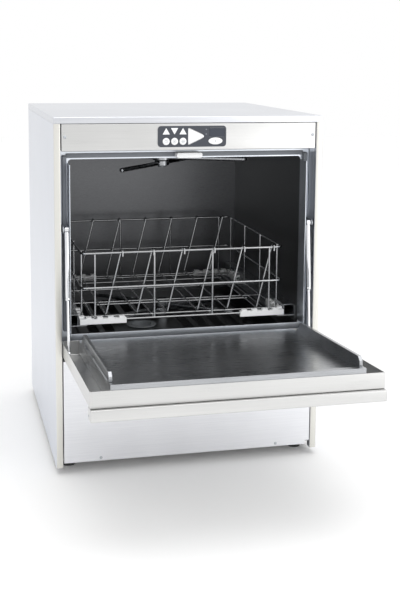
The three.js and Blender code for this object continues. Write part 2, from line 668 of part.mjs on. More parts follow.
// ---------------------------------------------------------------- machine room under the chamber
function buildMachineRoom() {
  const floor = baseTop + 2;
  const pumpZ = floor + 56;
  const pump = join(
    bar([70, 250, pumpZ], [70, 400, pumpZ], 50, 18),
    bar([70, 215, pumpZ], [70, 251, pumpZ], 58, 18),
    bar([70, 220, pumpZ], [70, 220, basinFloor - SHEET - 0.4], 20, 14),
    bar([128, 232, pumpZ + 20], [70, 232, pumpZ + 20], 14, 16),
    block(30, 110, 270, 380, baseBottom + SHEET + 0.4, pumpZ - 30),
  );
  add('wash_pump', pump, 'grey');

  const riserY = (chamberRear + SHEET + rearFace - SHEET) / 2;
  const overTank = ceiling + SHEET + 18;
  const supply = pipe([
    [128.6, 232, pumpZ + 20], [170, 232, pumpZ + 20], [200, 270, pumpZ + 20], [205, 420, pumpZ + 20],
    [206, riserY - 60, pumpZ + 24], [200, riserY - 10, pumpZ + 45], [190, riserY, pumpZ + 90],
    [160, riserY, chamberFloor + 160], [110, riserY, ceiling - 60], [90, riserY, ceiling - 12],
    [84, riserY, ceiling + 8], [74, riserY - 18, overTank + 2], [60, riserY - 60, overTank],
    [20, armY + 98.75, overTank], [0, armY + 40, overTank], [0, armY + POST_RADIUS + 0.6, overTank],
  ], 6.5, 40, 3);
  add('supply_pipe', supply, 'black');

  const drain = join(
    bar([-70, 220, floor + 24], [-70, 290, floor + 24], 26, 16),
    bar([-70, 220, floor + 24], [-70, 220, basinFloor - SHEET - 0.6], 12, 16),
    bar([-70, 262, floor + 24], [OUTLET.x, 300, floor + 24], 9, 12),
    bar([OUTLET.x, 300, floor + 24], [OUTLET.x, rearFace - 40, OUTLET.z], 9, 12),
    bar([OUTLET.x, rearFace - 46, OUTLET.z], [OUTLET.x, rearFace + 0.6, OUTLET.z], OUTLET.radius - 0.6, 16),
  );
  add('drain_pump', drain, 'black');

  const boilerX = -halfWidth + 65;
  const boilerZ = floor + 62;
  const boiler = join(
    bar([boilerX, 330, boilerZ], [boilerX, 560, boilerZ], 45, 20),
    bar([boilerX, 322, boilerZ], [boilerX, 331, boilerZ], 30, 16),
    bar([boilerX, 360, boilerZ + 38], [boilerX, 360, boilerZ + 62], 8, 14),
    bar([boilerX, 530, boilerZ + 38], [boilerX, 530, boilerZ + 62], 8, 14),
  );
  add('rinse_boiler', boiler, 'darkSteel');

  const doser = (x) => join(
    bar([x, 60, floor + 40], [x, 90, floor + 40], 26, 16),
    bar([x, 89, floor + 40], [x, 140, floor + 40], 17, 14),
    bar([x - 12, 74, floor + 62], [x - 12, 74, floor + 82], 4, 10),
    bar([x + 12, 74, floor + 62], [x + 12, 74, floor + 82], 4, 10),
  );
  add('detergent_pump', doser(halfWidth - 85), 'grey');
  add('rinse_aid_pump', doser(-halfWidth + 85), 'grey');

  const valve = join(
    bar([INLET.x, rearFace - 60, INLET.z], [INLET.x, rearFace + 0.6, INLET.z], INLET.radius - 0.6, 16),
    block(INLET.x - 20, INLET.x + 20, rearFace - 58, rearFace - 26, INLET.z + 8, INLET.z + 52),
    bar([INLET.x, rearFace - 90, INLET.z], [INLET.x, rearFace - 59, INLET.z], 7, 14),
  );
  add('inlet_valve', valve, 'white');

  const gland = join(
    bar([GLAND.x, rearFace - 16, GLAND.z], [GLAND.x, rearFace + 0.6, GLAND.z], GLAND.radius - 0.4, 16),
    bar([GLAND.x, rearFace - 22, GLAND.z], [GLAND.x, rearFace - SHEET - 0.4, GLAND.z], GLAND.radius + 4, 6),
  );
  const cableHole = bar([GLAND.x, rearFace - 30, GLAND.z], [GLAND.x, rearFace + 9, GLAND.z], 5, 16);
  add('cable_gland', cut(gland, cableHole), 'black');
}

// ---------------------------------------------------------------- door catch and hinges on the cabinet
function buildCatch() {
  const z0 = ceiling + 1;
  const outline = roundedOutline(CATCH_WIDTH, CATCH_HEIGHT, 4, 0, z0 + CATCH_HEIGHT / 2);
  add('door_catch', prism(outline, 'y', CATCH_FRONT, CATCH_FRONT + CATCH_DEPTH), 'white');
}

function buildHinges() {
  const inner = doorHalf - SHEET;
  const plateX0 = -inner + 0.4;
  const plateX1 = plateX0 + 2;
  const hinge = join(
    bar([plateX0, pivot.y, pivot.z], [plateX1, pivot.y, pivot.z], 9, 24),
    block(plateX0, plateX1, pivot.y, CHAMBER_FRONT - 0.3, pivot.z - 9, pivot.z + 9),
    bar([-stileInner + 0.4, pivot.y, pivot.z], [plateX1 + 2, pivot.y, pivot.z], HINGE_PIN / 2, 24),
  );
  add('hinge_left', hinge, 'chrome');
  add('hinge_right', mirrored(hinge), 'chrome');
}

const strutTop = { y: STRUT_TOP_Y, z: level(STRUT_TOP_Z) };
const tilt = THREE.MathUtils.degToRad(DOOR_OPEN_TILT);
const strutFoot = {
  y: pivot.y - STRUT_FOOT_U * Math.cos(tilt) + STRUT_FOOT_W * Math.sin(tilt),
  z: pivot.z + STRUT_FOOT_U * Math.sin(tilt) + STRUT_FOOT_W * Math.cos(tilt),
};
const strutReach = Math.hypot(strutTop.y - strutFoot.y, strutTop.z - strutFoot.z);
const strutSwing = Math.atan2(strutTop.y - strutFoot.y, strutTop.z - strutFoot.z);

function buildStruts() {
  const plateX0 = -(doorHalf - SHEET - 0.9);
  const mount = join(
    block(plateX0, plateX0 + 2, strutTop.y, CHAMBER_FRONT - 0.3, strutTop.z - 8, strutTop.z + 8),
    bar([plateX0, strutTop.y, strutTop.z], [plateX0 + 2, strutTop.y, strutTop.z], 8, 20),
    bar([plateX0, strutTop.y, strutTop.z], [-strutX + 5.5, strutTop.y, strutTop.z], STRUT_PIN / 2, 16),
  );
  add('strut_mount_left', mount, 'chrome');
  add('strut_mount_right', mirrored(mount), 'chrome');

  // Each strut is drawn hanging straight down from its upper pivot, then swung to the door.
  const r = STRUT_TUBE / 2;
  let tube = join(
    bar([-r + 0.8, 0, 0], [r - 0.8, 0, 0], STRUT_EYE / 2, 20),
    bar([0, 0, -STRUT_TUBE_LENGTH], [0, 0, -5], r, 20),
  );
  tube = cut(
    tube,
    bar([0, 0, -STRUT_TUBE_LENGTH - 1], [0, 0, -12], STRUT_TUBE_BORE / 2, 20),
    bar([-r - 1, 0, 0], [r + 1, 0, 0], STRUT_PIN / 2 + 0.2, 16),
  );
  const rod = cut(
    join(
      bar([0, 0, -strutReach + 3], [0, 0, -strutReach + STRUT_ROD_LENGTH], STRUT_ROD / 2, 16),
      bar([-3, 0, -strutReach], [3, 0, -strutReach], 6, 18),
    ),
    bar([-5, 0, -strutReach], [5, 0, -strutReach], 2.6, 14),
  );
  for (const [side, x] of [['left', -strutX], ['right', strutX]]) {
    const strut = new THREE.Group();
    strut.position.set(x, strutTop.y, strutTop.z);
    strut.rotation.x = -strutSwing;
    machine.add(strut);
    add(`strut_tube_${side}`, tube, 'chrome', strut);
    add(`strut_rod_${side}`, rod, 'chrome', strut);
  }
}

// ---------------------------------------------------------------- door
// The door is drawn closed: along = up from the pivot, across = into the machine from the pivot.
const door = new THREE.Group();
door.position.set(0, pivot.y, pivot.z);
door.rotation.x = THREE.MathUtils.degToRad(90 - DOOR_OPEN_TILT);
machine.add(door);

function buildDoor() {
  const along = DOOR_LENGTH;
  const wallInner = doorHalf - SHEET;
  const skin = block(-doorHalf, doorHalf, doorOuterW, doorOuterW + SHEET, -DOOR_TAIL, along);
  const wall = (s) => block(
    Math.min(s * wallInner, s * doorHalf), Math.max(s * wallInner, s * doorHalf),
    doorOuterW, doorInnerW, -DOOR_TAIL, along,
  );
  const tip = block(-doorHalf, doorHalf, doorOuterW, doorInnerW, along - SHEET, along);
  const stub = (s) => bar(
    [s * (wallInner + 0.5), STRUT_FOOT_W, STRUT_FOOT_U], [s * (strutX + 4.2), STRUT_FOOT_W, STRUT_FOOT_U],
    STRUT_PIN / 2, 16,
  );
  let outer = join(skin, wall(-1), wall(1), tip, stub(-1), stub(1));
  outer = cut(outer, bar([-halfWidth, 0, 0], [halfWidth, 0, 0], HINGE_PIN / 2 + HINGE_CLEARANCE, 24));
  add('door_outer_panel', outer, 'steel', door);

  const pan = innerPanHalf;
  const panEnd = along - SHEET - SHEET_GAP;
  const barStart = panEnd - STOP_BAR_LENGTH;
  const panBack = doorOuterW + SHEET + SHEET_GAP;
  let inner = join(
    block(-pan, pan, panBack, doorInnerW, -DOOR_TAIL + 2, panEnd),
    block(-pan, pan, doorInnerW - 1, doorInnerW + STOP_BAR_HEIGHT, barStart, panEnd),
  );
  inner = cut(
    inner,
    block(
      -pan + SHEET, pan - SHEET, panBack - 1, doorInnerW - SHEET, -DOOR_TAIL + 2 + SHEET, panEnd - SHEET,
    ),
    block(
      -pan + SHEET, pan - SHEET, doorInnerW - 4, doorInnerW + STOP_BAR_HEIGHT - SHEET,
      barStart + SHEET, panEnd - SHEET,
    ),
  );
  const guideEnd = barStart - 3;
  const guideTop = doorInnerW + DOOR_GUIDE_HEIGHT;
  const guideOutline = polygon([
    [doorInnerW - 0.8, 30], [guideTop - 4, 58], [guideTop, 70],
    [guideTop, guideEnd - 8], [guideTop - 8, guideEnd],
    [doorInnerW - 0.8, guideEnd],
  ]);
  const guide = prism(guideOutline, 'x', doorGuideInner, doorGuideInner + DOOR_GUIDE_WIDTH);
  const slot = block(
    innerPanHalf - 2, innerPanHalf + 1, doorInnerW + 6, guideTop - 6, 80, guideEnd - 16,
  );
  inner = join(inner, cut(guide, slot), mirrored(cut(guide, slot)));
  const pocketZ0 = ceiling - pivot.z - 1.5;
  const pocket = block(
    -CATCH_WIDTH / 2 - 3, CATCH_WIDTH / 2 + 3, CATCH_FRONT - pivot.y - 4, doorInnerW + STOP_BAR_HEIGHT + 1,
    pocketZ0, panEnd - SHEET,
  );
  add('door_inner_panel', cut(inner, pocket), 'darkSteel', door);

  // The handle is a folded lip across the tip: a channel that is open towards the hinge.
  const hw0 = doorOuterW - 0.3;
  const hw1 = hw0 - HANDLE_DROP + 0.3;
  const reach = along + HANDLE_REACH;
  const profile = polygon([
    [hw0, reach - HANDLE_LENGTH - 12], [hw0, reach], [hw1, reach], [hw1, reach - HANDLE_LENGTH],
    [hw1 + HANDLE_HOOK, reach - HANDLE_LENGTH], [hw1 + HANDLE_HOOK, reach - HANDLE_LENGTH + SHEET],
    [hw1 + SHEET, reach - HANDLE_LENGTH + SHEET], [hw1 + SHEET, reach - SHEET], [hw0 - SHEET, reach - SHEET],
    [hw0 - SHEET, reach - HANDLE_LENGTH - 12],
  ]);
  const cap = polygon([
    [hw0, reach - HANDLE_LENGTH], [hw0, reach], [hw1, reach], [hw1, reach - HANDLE_LENGTH],
  ]);
  const handle = join(
    prism(profile, 'x', -doorHalf, doorHalf),
    prism(cap, 'x', -doorHalf, -doorHalf + SHEET),
    prism(cap, 'x', doorHalf - SHEET, doorHalf),
  );
  add('door_handle', handle, 'steel', door);
}

// ---------------------------------------------------------------- rack
const rack = new THREE.Group();
rack.position.set(0, rackMidY, rackFloor);
machine.add(rack);

/** A square ring of wire with cut corners, centred on the rack. */
function ring(size, z, wire) {
  const h = size / 2;
  const c = RACK_CORNER;
  const corners = [
    [-h + c, -h], [h - c, -h], [h, -h + c], [h, h - c], [h - c, h], [-h + c, h], [-h, h - c], [-h, -h + c],
  ];
  const sides = corners.map(([x, y], k) => {
    const [u, v] = corners[(k + 1) % corners.length];
    const lap = wire / 4 / Math.hypot(u - x, v - y);
    const from = [x - (u - x) * lap, y - (v - y) * lap, z];
    const to = [u + (u - x) * lap, v + (v - y) * lap, z];
    return bar(from, to, wire / 2, WIRE_SIDES);
  });
  return join(...sides);
}

function buildRack() {
  const h = rackHalf;
  const w = RACK_WIRE;
  const bottom = SHOE_HEIGHT / 2 + 2;
  const top = RACK_HEIGHT;
  let basket = join(ring(RACK_SIZE, bottom, w), ring(RACK_SIZE, RACK_MIDDLE, w), ring(RACK_SIZE, top, w));
  for (const p of [-uprightFar, -uprightNear, uprightNear, uprightFar]) {
    for (const s of [-1, 1]) {
      const inset = s * (h - w * 0.6);
      basket = join(basket, bar([p, inset, bottom], [p, inset, top + 1], w / 2 - 0.3, WIRE_SIDES));
      basket = join(basket, bar([inset, p, bottom], [inset, p, top + 1], w / 2 - 0.3, WIRE_SIDES));
    }
    basket = join(basket, bar([p, -h, bottom - 1.4], [p, h, bottom - 1.4], w / 2 - 0.4, WIRE_SIDES));
    basket = join(basket, bar([-h, p, bottom + 1.4], [h, p, bottom + 1.4], w / 2 - 0.4, WIRE_SIDES));
  }
  add('rack_basket', basket, 'chrome', rack);

  // L-shaped shoes round the lower corners, notched on top, with a groove for the wire.
  const outer = h + SHOE_PROUD;
  const thick = 2 * SHOE_PROUD + 2;
  let shoe = join(
    block(-outer, -outer + SHOE_LENGTH, -outer, -outer + thick, 0, SHOE_HEIGHT),
    block(-outer, -outer + thick, -outer, -outer + SHOE_LENGTH, 0, SHOE_HEIGHT),
  );
  for (let k = 0; k < 4; k += 1) {
    const a = -outer + 14 + k * 25;
    shoe = join(
      shoe,
      block(a, a + 12, -outer, -outer + thick, SHOE_HEIGHT - 1, SHOE_HEIGHT + SHOE_TOOTH),
      block(-outer, -outer + thick, a, a + 12, SHOE_HEIGHT - 1, SHOE_HEIGHT + SHOE_TOOTH),
    );
  }
  const grooved = cut(shoe, ...wireGrooves(bottom));
  const quarterTurns = [
    'rack_shoe_front_left', 'rack_shoe_front_right', 'rack_shoe_rear_right', 'rack_shoe_rear_left',
  ];
  quarterTurns.forEach((name, k) => {
    add(name, grooved.rotate([0, 0, 90 * k]), 'white', rack);
  });
  buildDividers(bottom);
}

/** Room round the wires that the shoes hold, with the clearance of a snap fit. */
function wireGrooves(bottom) {
  const h = rackHalf;
  const room = RACK_WIRE / 2 + 0.4;
  const reach = h - SHOE_LENGTH - 20;
  const corner = -h + RACK_CORNER + room;
  return [
    block(-h - room, corner, -h - room, corner, bottom - room - 0.8, bottom + room + 0.8),
    block(-h - room, -reach, -h - room, -h + room + 1.5, bottom - room - 0.8, bottom + room + 0.8),
    block(-h - room, -h + room + 1.5, -h - room, -reach, bottom - room - 0.8, bottom + room + 0.8),
    block(-uprightFar - room, -uprightFar + room, -h - room, -h + 20, bottom - room - 1.5, bottom + 30),
    block(-h - room, -h + 20, -uprightFar - room, -uprightFar + room, bottom - room - 1.5, bottom + 30),
  ];
}

/** Leaning supports for six trays, hooked over the front and rear of the top ring. */
function buildDividers(bottom) {
  const w = DIVIDER_WIRE;
  const reach = rackHalf - RACK_WIRE / 2 - w / 2 - 2.2 - RACK_WIRE;
  const foot = bottom + RACK_WIRE + w / 2 + 1.2;
  const top = RACK_HEIGHT + RACK_WIRE / 2 + w / 2 + 0.5;
  const hookY = rackHalf + RACK_WIRE / 2 + w / 2 + 0.4;
  const firstFoot = -rackHalf + DIVIDER_FOOT_MARGIN;
  const lastFoot = rackHalf - DIVIDER_HOOK_MARGIN - DIVIDER_LEAN;
  const pitch = (lastFoot - firstFoot) / (DIVIDER_COUNT - 1);
  let insert = join(
    bar([firstFoot - 6, -DIVIDER_RAIL, foot], [lastFoot + 6, -DIVIDER_RAIL, foot], w / 2, WIRE_SIDES),
    bar([firstFoot - 6, DIVIDER_RAIL, foot], [lastFoot + 6, DIVIDER_RAIL, foot], w / 2, WIRE_SIDES),
  );
  for (let k = 0; k < DIVIDER_COUNT; k += 1) {
    const x0 = firstFoot + k * pitch;
    const x1 = x0 + DIVIDER_LEAN;
    insert = join(insert, bar([x0, -reach - w / 2, foot], [x0, reach + w / 2, foot], w / 2, WIRE_SIDES));
    for (const s of [-1, 1]) {
      insert = join(
        insert,
        bar([x0, s * reach, foot], [x1, s * reach, top], w / 2, WIRE_SIDES),
        bar([x1 - 0.4, s * (reach - w / 2), top], [x1 - 0.4, s * (hookY + w / 2), top], w / 2, WIRE_SIDES),
        bar([x1 - 0.4, s * hookY, top + w / 4], [x1 - 0.4, s * hookY, top - 12], w / 2, WIRE_SIDES),
      );
    }
  }
  add('tray_dividers', insert, 'chrome', rack);
}

// ---------------------------------------------------------------- assembly
buildTopPanel();
buildSidePanels();
buildRearPanel();
buildBaseFrame();
buildLowerFrontPanel();
buildFeet();
buildControls();
buildWashTank();
buildSeal();
buildRackGuides();
buildFilters();
buildHeater();
buildSprayArms();
buildMachineRoom();
buildCatch();
buildHinges();
buildStruts();
buildDoor();
buildRack();

// The origin is the middle of the whole machine's footprint, on the floor.
machine.updateMatrixWorld(true);
const extent = new THREE.Box3().setFromObject(machine, true);
machine.position.y = -(extent.min.y + extent.max.y) / 2;
machine.updateMatrixWorld(true);

export default machine;
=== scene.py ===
"""Undercounter glass and tray washer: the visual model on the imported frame.

Metres, +X right, +Y into the machine, +Z up.
"""

import json
import math

import bpy
import numpy as np
from mathutils import Matrix


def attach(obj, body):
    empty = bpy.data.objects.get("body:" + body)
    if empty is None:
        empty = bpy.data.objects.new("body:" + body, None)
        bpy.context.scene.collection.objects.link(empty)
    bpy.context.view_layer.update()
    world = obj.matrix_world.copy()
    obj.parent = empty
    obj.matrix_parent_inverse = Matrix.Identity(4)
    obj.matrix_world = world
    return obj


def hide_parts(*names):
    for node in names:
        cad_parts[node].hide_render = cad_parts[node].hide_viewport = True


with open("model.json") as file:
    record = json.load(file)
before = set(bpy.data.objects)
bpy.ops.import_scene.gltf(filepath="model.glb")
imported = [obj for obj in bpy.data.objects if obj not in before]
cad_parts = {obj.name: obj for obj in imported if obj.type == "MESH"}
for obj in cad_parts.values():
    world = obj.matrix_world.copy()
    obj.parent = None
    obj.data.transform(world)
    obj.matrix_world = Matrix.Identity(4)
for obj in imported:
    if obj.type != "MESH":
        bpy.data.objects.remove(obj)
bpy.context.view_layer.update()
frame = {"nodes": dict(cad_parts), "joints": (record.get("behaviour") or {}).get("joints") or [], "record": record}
MM = 0.001
SHEET = 1.5 * MM                  # stainless sheet
STILE = 15 * MM                   # front return of a side sheet, across
STILE_DEEP = 18 * MM              # and how far it turns in
REAR_RETURN = 20 * MM
SHEET_GAP = 0.4 * MM              # joint between neighbouring sheets
SCREW = 3.4 * MM                  # radius of the front screws' heads
FASCIA_SCREW_INSET = 7.2 * MM
LOWER_SCREW_X = 202 * MM
LOWER_SCREW_RISE = 7 * MM
PRINT = 0.15 * MM                 # thickness of a printed mark
GLYPH = 0.1 * MM                  # thickness of a mark on a key
STRUT_FOOT_ALONG = 29 * MM        # strut pins on the door, from the hinge line
STRUT_FOOT_ACROSS = -3 * MM
NODES = frame["nodes"]
JOINTS = {joint["name"]: joint for joint in frame["joints"]}
BODY_OF = {name: body for body, names in frame["record"]["behaviour"]["bodies"].items() for name in names}


# ------------------------------------------------------------------ where things are
def span(node, origin=(0, 0, 0), axes=((1, 0, 0), (0, 1, 0), (0, 0, 1))):
    """Lowest and highest coordinates of a CAD node, measured from an origin along three axes."""
    mesh = NODES[node].data
    points = np.zeros(len(mesh.vertices) * 3)
    mesh.vertices.foreach_get("co", points)
    local = (points.reshape(-1, 3) - np.array(origin)) @ np.array(axes, float).T
    return local.min(0), local.max(0)


hinge = JOINTS["door_hinge"]
PIVOT = np.array(hinge["pos_m"])
TILT = math.radians(90 + hinge["range_deg"][0])
ALONG = np.array([0, -math.cos(TILT), math.sin(TILT)])      # from the hinge to the door's tip
ACROSS = np.array([0, math.sin(TILT), math.cos(TILT)])      # from the outer skin to the inner face
RIGHT, INTO, UP = np.eye(3)


# ------------------------------------------------------------------ surfaces as arrays
def soften(points, radius, closed=True, steps=5):
    """Rounds a polyline's corners.

    Each corner becomes a quadratic curve from the point one radius before it to the point one radius after
    it, with the radius held to 0.45 of the shorter neighbouring edge.
    """
    points = np.asarray(points, float)
    before = np.roll(points, 1, 0) - points
    after = np.roll(points, -1, 0) - points
    long_before = np.linalg.norm(before, axis=1)[:, None]
    long_after = np.linalg.norm(after, axis=1)[:, None]
    reach = np.minimum(np.minimum(long_before, long_after) * 0.45, radius)
    start = (points + before / long_before * reach)[:, None]
    end = (points + after / long_after * reach)[:, None]
    t = np.linspace(0, 1, steps)[None, :, None]
    curve = (1 - t) ** 2 * start + 2 * t * (1 - t) * points[:, None] + t ** 2 * end
    if closed:
        return curve.reshape(-1, points.shape[1])
    return np.vstack([points[:1], curve[1:-1].reshape(-1, points.shape[1]), points[-1:]])


def skin(rings, wrap=False):
    """Vertices and faces of a grid of closed rings, capped flat unless the last ring meets the first.

    Point j of ring i joins (i + 1, j), (i + 1, j + 1) and (i, j + 1). Where the signed volume, the sum of
    a . (b x c) over every triangle, is negative, each face is read the other way round.
    """
    rings = np.asarray(rings, float)
    count, around = rings.shape[:2]
    vertices = rings.reshape(-1, 3)
    i = np.arange(count if wrap else count - 1)[:, None]
    j = np.arange(around)[None, :]
    k, m = (i + 1) % count, (j + 1) % around
    quads = np.stack(np.broadcast_arrays(i * around + j, k * around + j, k * around + m, i * around + m), -1)
    quads = quads.reshape(-1, 4)
    triangles = [quads[:, [0, 1, 2]], quads[:, [0, 2, 3]]]
    faces = quads.tolist()
    if not wrap:
        near = np.arange(around)
        far = near[::-1] + (count - 1) * around
        for cap in (near, far):
            fan = np.stack([np.full(around, cap[0]), cap, np.roll(cap, -1)], 1)
            triangles.append(fan)
            faces.append(cap.tolist())
    corners = (vertices - vertices.mean(0))[np.vstack(triangles)]
    volume = np.einsum("ij,ij->i", corners[:, 0], np.cross(corners[:, 1], corners[:, 2])).sum()
    return vertices, [face[::-1] for face in faces] if volume < 0 else faces


def rounded_rectangle(width, height, radius, steps=6):
    """A rectangle about the origin whose corners are quarter circles of a radius."""
    radius = min(radius, width / 2 - 1e-5, height / 2 - 1e-5)
    turn = np.linspace(0, math.pi / 2, steps)
    corner = radius * np.stack([np.cos(turn), np.sin(turn)], 1)
    parts = []
    for quarter, (sx, sy) in enumerate([(1, 1), (-1, 1), (-1, -1), (1, -1)]):
        c, s = math.cos(quarter * math.pi / 2), math.sin(quarter * math.pi / 2)
        turned_corner = corner @ np.array([[c, s], [-s, c]])
        parts.append(turned_corner + [sx * (width / 2 - radius), sy * (height / 2 - radius)])
    return np.vstack(parts)


def terrace(width, height, radius, levels, centre, u, v, w):
    """A solid of rounded rectangles.

    At each level (inset, depth) the rectangle shrinks by the inset on every side, its corners shrink with
    it, and it lies the depth along w from the centre.
    """
    rings = []
    for inset, depth in levels:
        outline = rounded_rectangle(width - 2 * inset, height - 2 * inset, max(radius - inset, 0.3 * MM))
        rings.append(np.asarray(centre) + outline[:, :1] * u + outline[:, 1:] * v + depth * np.asarray(w))
    return skin(rings)


def fold(radius):
    """Levels of a quarter round: inset r (1 - sin a) at depth r (1 - cos a), for a from 0 to 90 degrees."""
    turn = np.linspace(0, math.pi / 2, 6)
    return [(radius * (1 - math.sin(a)), radius * (1 - math.cos(a))) for a in turn]


def pressed_pan(width, height, deep, sheet, bend, centre, u, v, w, corner=1.5 * MM):
    """A folded sheet pan: a flat face, a bend, walls of a depth, and the same bend inside, one sheet away."""
    outer = fold(bend)
    inner = [(inset + sheet, depth + sheet) for inset, depth in fold(max(bend - sheet, 0.4 * MM))][::-1]
    levels = outer + [(0.0, deep), (sheet, deep)] + inner
    return terrace(width, height, corner, levels, centre, u, v, w)


def pillow(width, height, deep, edge, centre, u, v, w, corner):
    """A block between two rounded faces: the fold's levels, and the same levels mirrored at the far face."""
    first = fold(edge)
    last = [(inset, deep - depth) for inset, depth in first[::-1]]
    return terrace(width, height, corner, first + last, centre, u, v, w)


def extruded(profile, start, end, origin, a, b, along):
    """A closed profile (p, q) drawn at origin + p a + q b and carried straight from start to end."""
    profile = np.asarray(profile, float)
    flat = np.asarray(origin) + profile[:, :1] * a + profile[:, 1:] * b
    return skin([flat + start * np.asarray(along), flat + end * np.asarray(along)])


def carried(path, radius, across, sides=10, closed=False):
    """A round section carried along a path.

    At each path point the section lies in the plane of s = t x n and s x t, where t is the direction from
    the previous point to the next one and n is a fixed direction that the path never runs along.
    """
    path = np.asarray(path, float)
    if closed:
        tangent = np.roll(path, -1, 0) - np.roll(path, 1, 0)
    else:
        tangent = np.gradient(path, axis=0)
    tangent /= np.linalg.norm(tangent, axis=1)[:, None]
    side = np.cross(tangent, np.asarray(across, float))
    side /= np.linalg.norm(side, axis=1)[:, None]
    lift = np.cross(side, tangent)
    turn = np.linspace(0, 2 * math.pi, sides, endpoint=False)
    around = np.cos(turn)[None, :, None] * side[:, None] + np.sin(turn)[None, :, None] * lift[:, None]
    rings = path[:, None] + radius * around
    if closed:
        return skin(rings, wrap=True)
    near = rings[0] * 0.4 + path[0] * 0.6 - tangent[0] * radius * 0.3
    far = rings[-1] * 0.4 + path[-1] * 0.6 + tangent[-1] * radius * 0.3
    return skin(np.concatenate([near[None], rings, far[None]]))


def turned(profile, origin, axis, across, sides=40, ribs=0, rib_depth=0.0, wrap=False):
    """A profile (radius, height) turned about an axis.

    The point at angle a is origin + r (cos a p + sin a q) + h axis; with ribs, r is also multiplied by
    1 + depth cos(ribs a).
    """
    profile = np.asarray(profile, float)
    axis = np.asarray(axis, float)
    p = np.asarray(across, float)
    q = np.cross(axis, p)
    turn = np.linspace(0, 2 * math.pi, sides, endpoint=False)
    swell = 1 + rib_depth * np.cos(ribs * turn)
    spoke = (np.cos(turn) * swell)[:, None] * p + (np.sin(turn) * swell)[:, None] * q
    return skin(np.asarray(origin) + profile[:, :1, None] * spoke + profile[:, 1:, None] * axis, wrap)


def domed(outline, levels, centre, u, v, w):
    """A key cap: at each level a closed outline shrinks about its middle by a share and lifts by a height."""
    outline = np.asarray(outline, float)
    middle = outline.mean(0)
    rings = []
    for share, lift in levels:
        flat = middle + (outline - middle) * share
        rings.append(np.asarray(centre) + flat[:, :1] * u + flat[:, 1:] * v + lift * np.asarray(w))
    return skin(rings)


def piece(name, parts, material, body, stands_for=()):
    """Joins (vertices, faces) parts into one mesh object that rides on a CAD body."""
    vertices, faces, start = [], [], 0
    for part_vertices, part_faces in parts:
        vertices.append(part_vertices)
        faces += [[index + start for index in face] for face in part_faces]
        start += len(part_vertices)
    mesh = bpy.data.meshes.new(name)
    mesh.from_pydata(np.vstack(vertices).tolist(), [], faces)
    mesh.update()
    mesh.shade_smooth()
    mesh.set_sharp_from_angle(angle=math.radians(38))
    item = bpy.data.objects.new(name, mesh)
    bpy.context.scene.collection.objects.link(item)
    mesh.materials.append(material)
    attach(item, body)
    for node in stands_for:
        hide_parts(node)
    return item


# ------------------------------------------------------------------ materials
def linear(code):
    """An sRGB hex colour as linear RGBA."""
    srgb = np.array([int(code[k:k + 2], 16) for k in (1, 3, 5)]) / 255
    rgb = np.where(srgb <= 0.04045, srgb / 12.92, ((srgb + 0.055) / 1.055) ** 2.4)
    return (*rgb.tolist(), 1.0)


def node(tree, kind, inputs=None, **settings):
    """Adds a node, sets its properties, and fills its inputs with values or with other nodes' outputs."""
    item = tree.nodes.new(kind)
    for key, value in settings.items():
        setattr(item, key, value)
    for key, value in (inputs or {}).items():
        if isinstance(value, bpy.types.NodeSocket):
            tree.links.new(value, item.inputs[key])
        else:
            item.inputs[key].default_value = value
    return item


def shader(name, **values):
    """A new material with one Principled shader; returns the material, its tree and the shader."""
    material = bpy.data.materials.new(name)
    material.use_nodes = True
    tree = material.node_tree
    tree.nodes.clear()
    principled = node(tree, "ShaderNodeBsdfPrincipled", values)
    node(tree, "ShaderNodeOutputMaterial", {"Surface": principled.outputs["BSDF"]})
    return material, tree, principled


def textured(tree, principled, size_mm, stretch, low, high, bump_mm, bevel_mm=0.0, tones=None):
    """Noise of a real size drives roughness from low to high, a bump of a real height, and any two tones."""
    place = node(tree, "ShaderNodeTexCoord").outputs["Object"]
    scale = [1000 / (size_mm * s) for s in stretch]
    laid = node(tree, "ShaderNodeMapping", {"Vector": place, "Scale": scale}).outputs["Vector"]
    grain = node(tree, "ShaderNodeTexNoise", {"Vector": laid, "Scale": 1.0, "Detail": 4.0, "Roughness": 0.6})
    cloud = node(tree, "ShaderNodeTexNoise", {"Vector": place, "Scale": 9.0, "Detail": 2.0})
    mixed = node(tree, "ShaderNodeMath", {0: grain.outputs["Fac"], 1: 0.7}, operation="MULTIPLY")
    mixed = node(tree, "ShaderNodeMath", {0: cloud.outputs["Fac"], 1: 0.3, 2: mixed.outputs[0]},
                 operation="MULTIPLY_ADD")
    rough = node(tree, "ShaderNodeMapRange", {0: mixed.outputs[0], 1: 0.3, 2: 0.7, 3: low, 4: high})
    tree.links.new(rough.outputs[0], principled.inputs["Roughness"])
    if tones:
        shade = node(tree, "ShaderNodeValToRGB", {"Fac": mixed.outputs[0]})
        for stop, position, tone in zip(shade.color_ramp.elements, (0.32, 0.68), tones):
            stop.position = position
            stop.color = linear(tone)
        tree.links.new(shade.outputs["Color"], principled.inputs["Base Color"])
    relief = {"Height": grain.outputs["Fac"], "Strength": 0.5, "Distance": bump_mm * MM}
    bump = node(tree, "ShaderNodeBump", relief)
    if bevel_mm:
        worn = node(tree, "ShaderNodeBevel", {"Radius": bevel_mm * MM}, samples=4)
        tree.links.new(worn.outputs["Normal"], bump.inputs["Normal"])
    tree.links.new(bump.outputs["Normal"], principled.inputs["Normal"])


def brushed_steel(name, stretch, tones, low, high, bevel_mm):
    """Stainless sheet brushed one way: scratches about 0.2 mm wide, drawn 1.2 mm wide so that they show."""
    material, tree, principled = shader(name, Metallic=1.0)
    textured(tree, principled, 1.2, stretch, low, high, 0.02, bevel_mm, tones=tones)
    return material


# Stainless steel 1.4301, belt-brushed level across the front: satin streaks of light that run sideways.
STEEL_LEVEL = brushed_steel("stainless_brushed_level", (90, 1, 1), ("#cbcbca", "#d3d3d2"), 0.26, 0.38, 1.0)
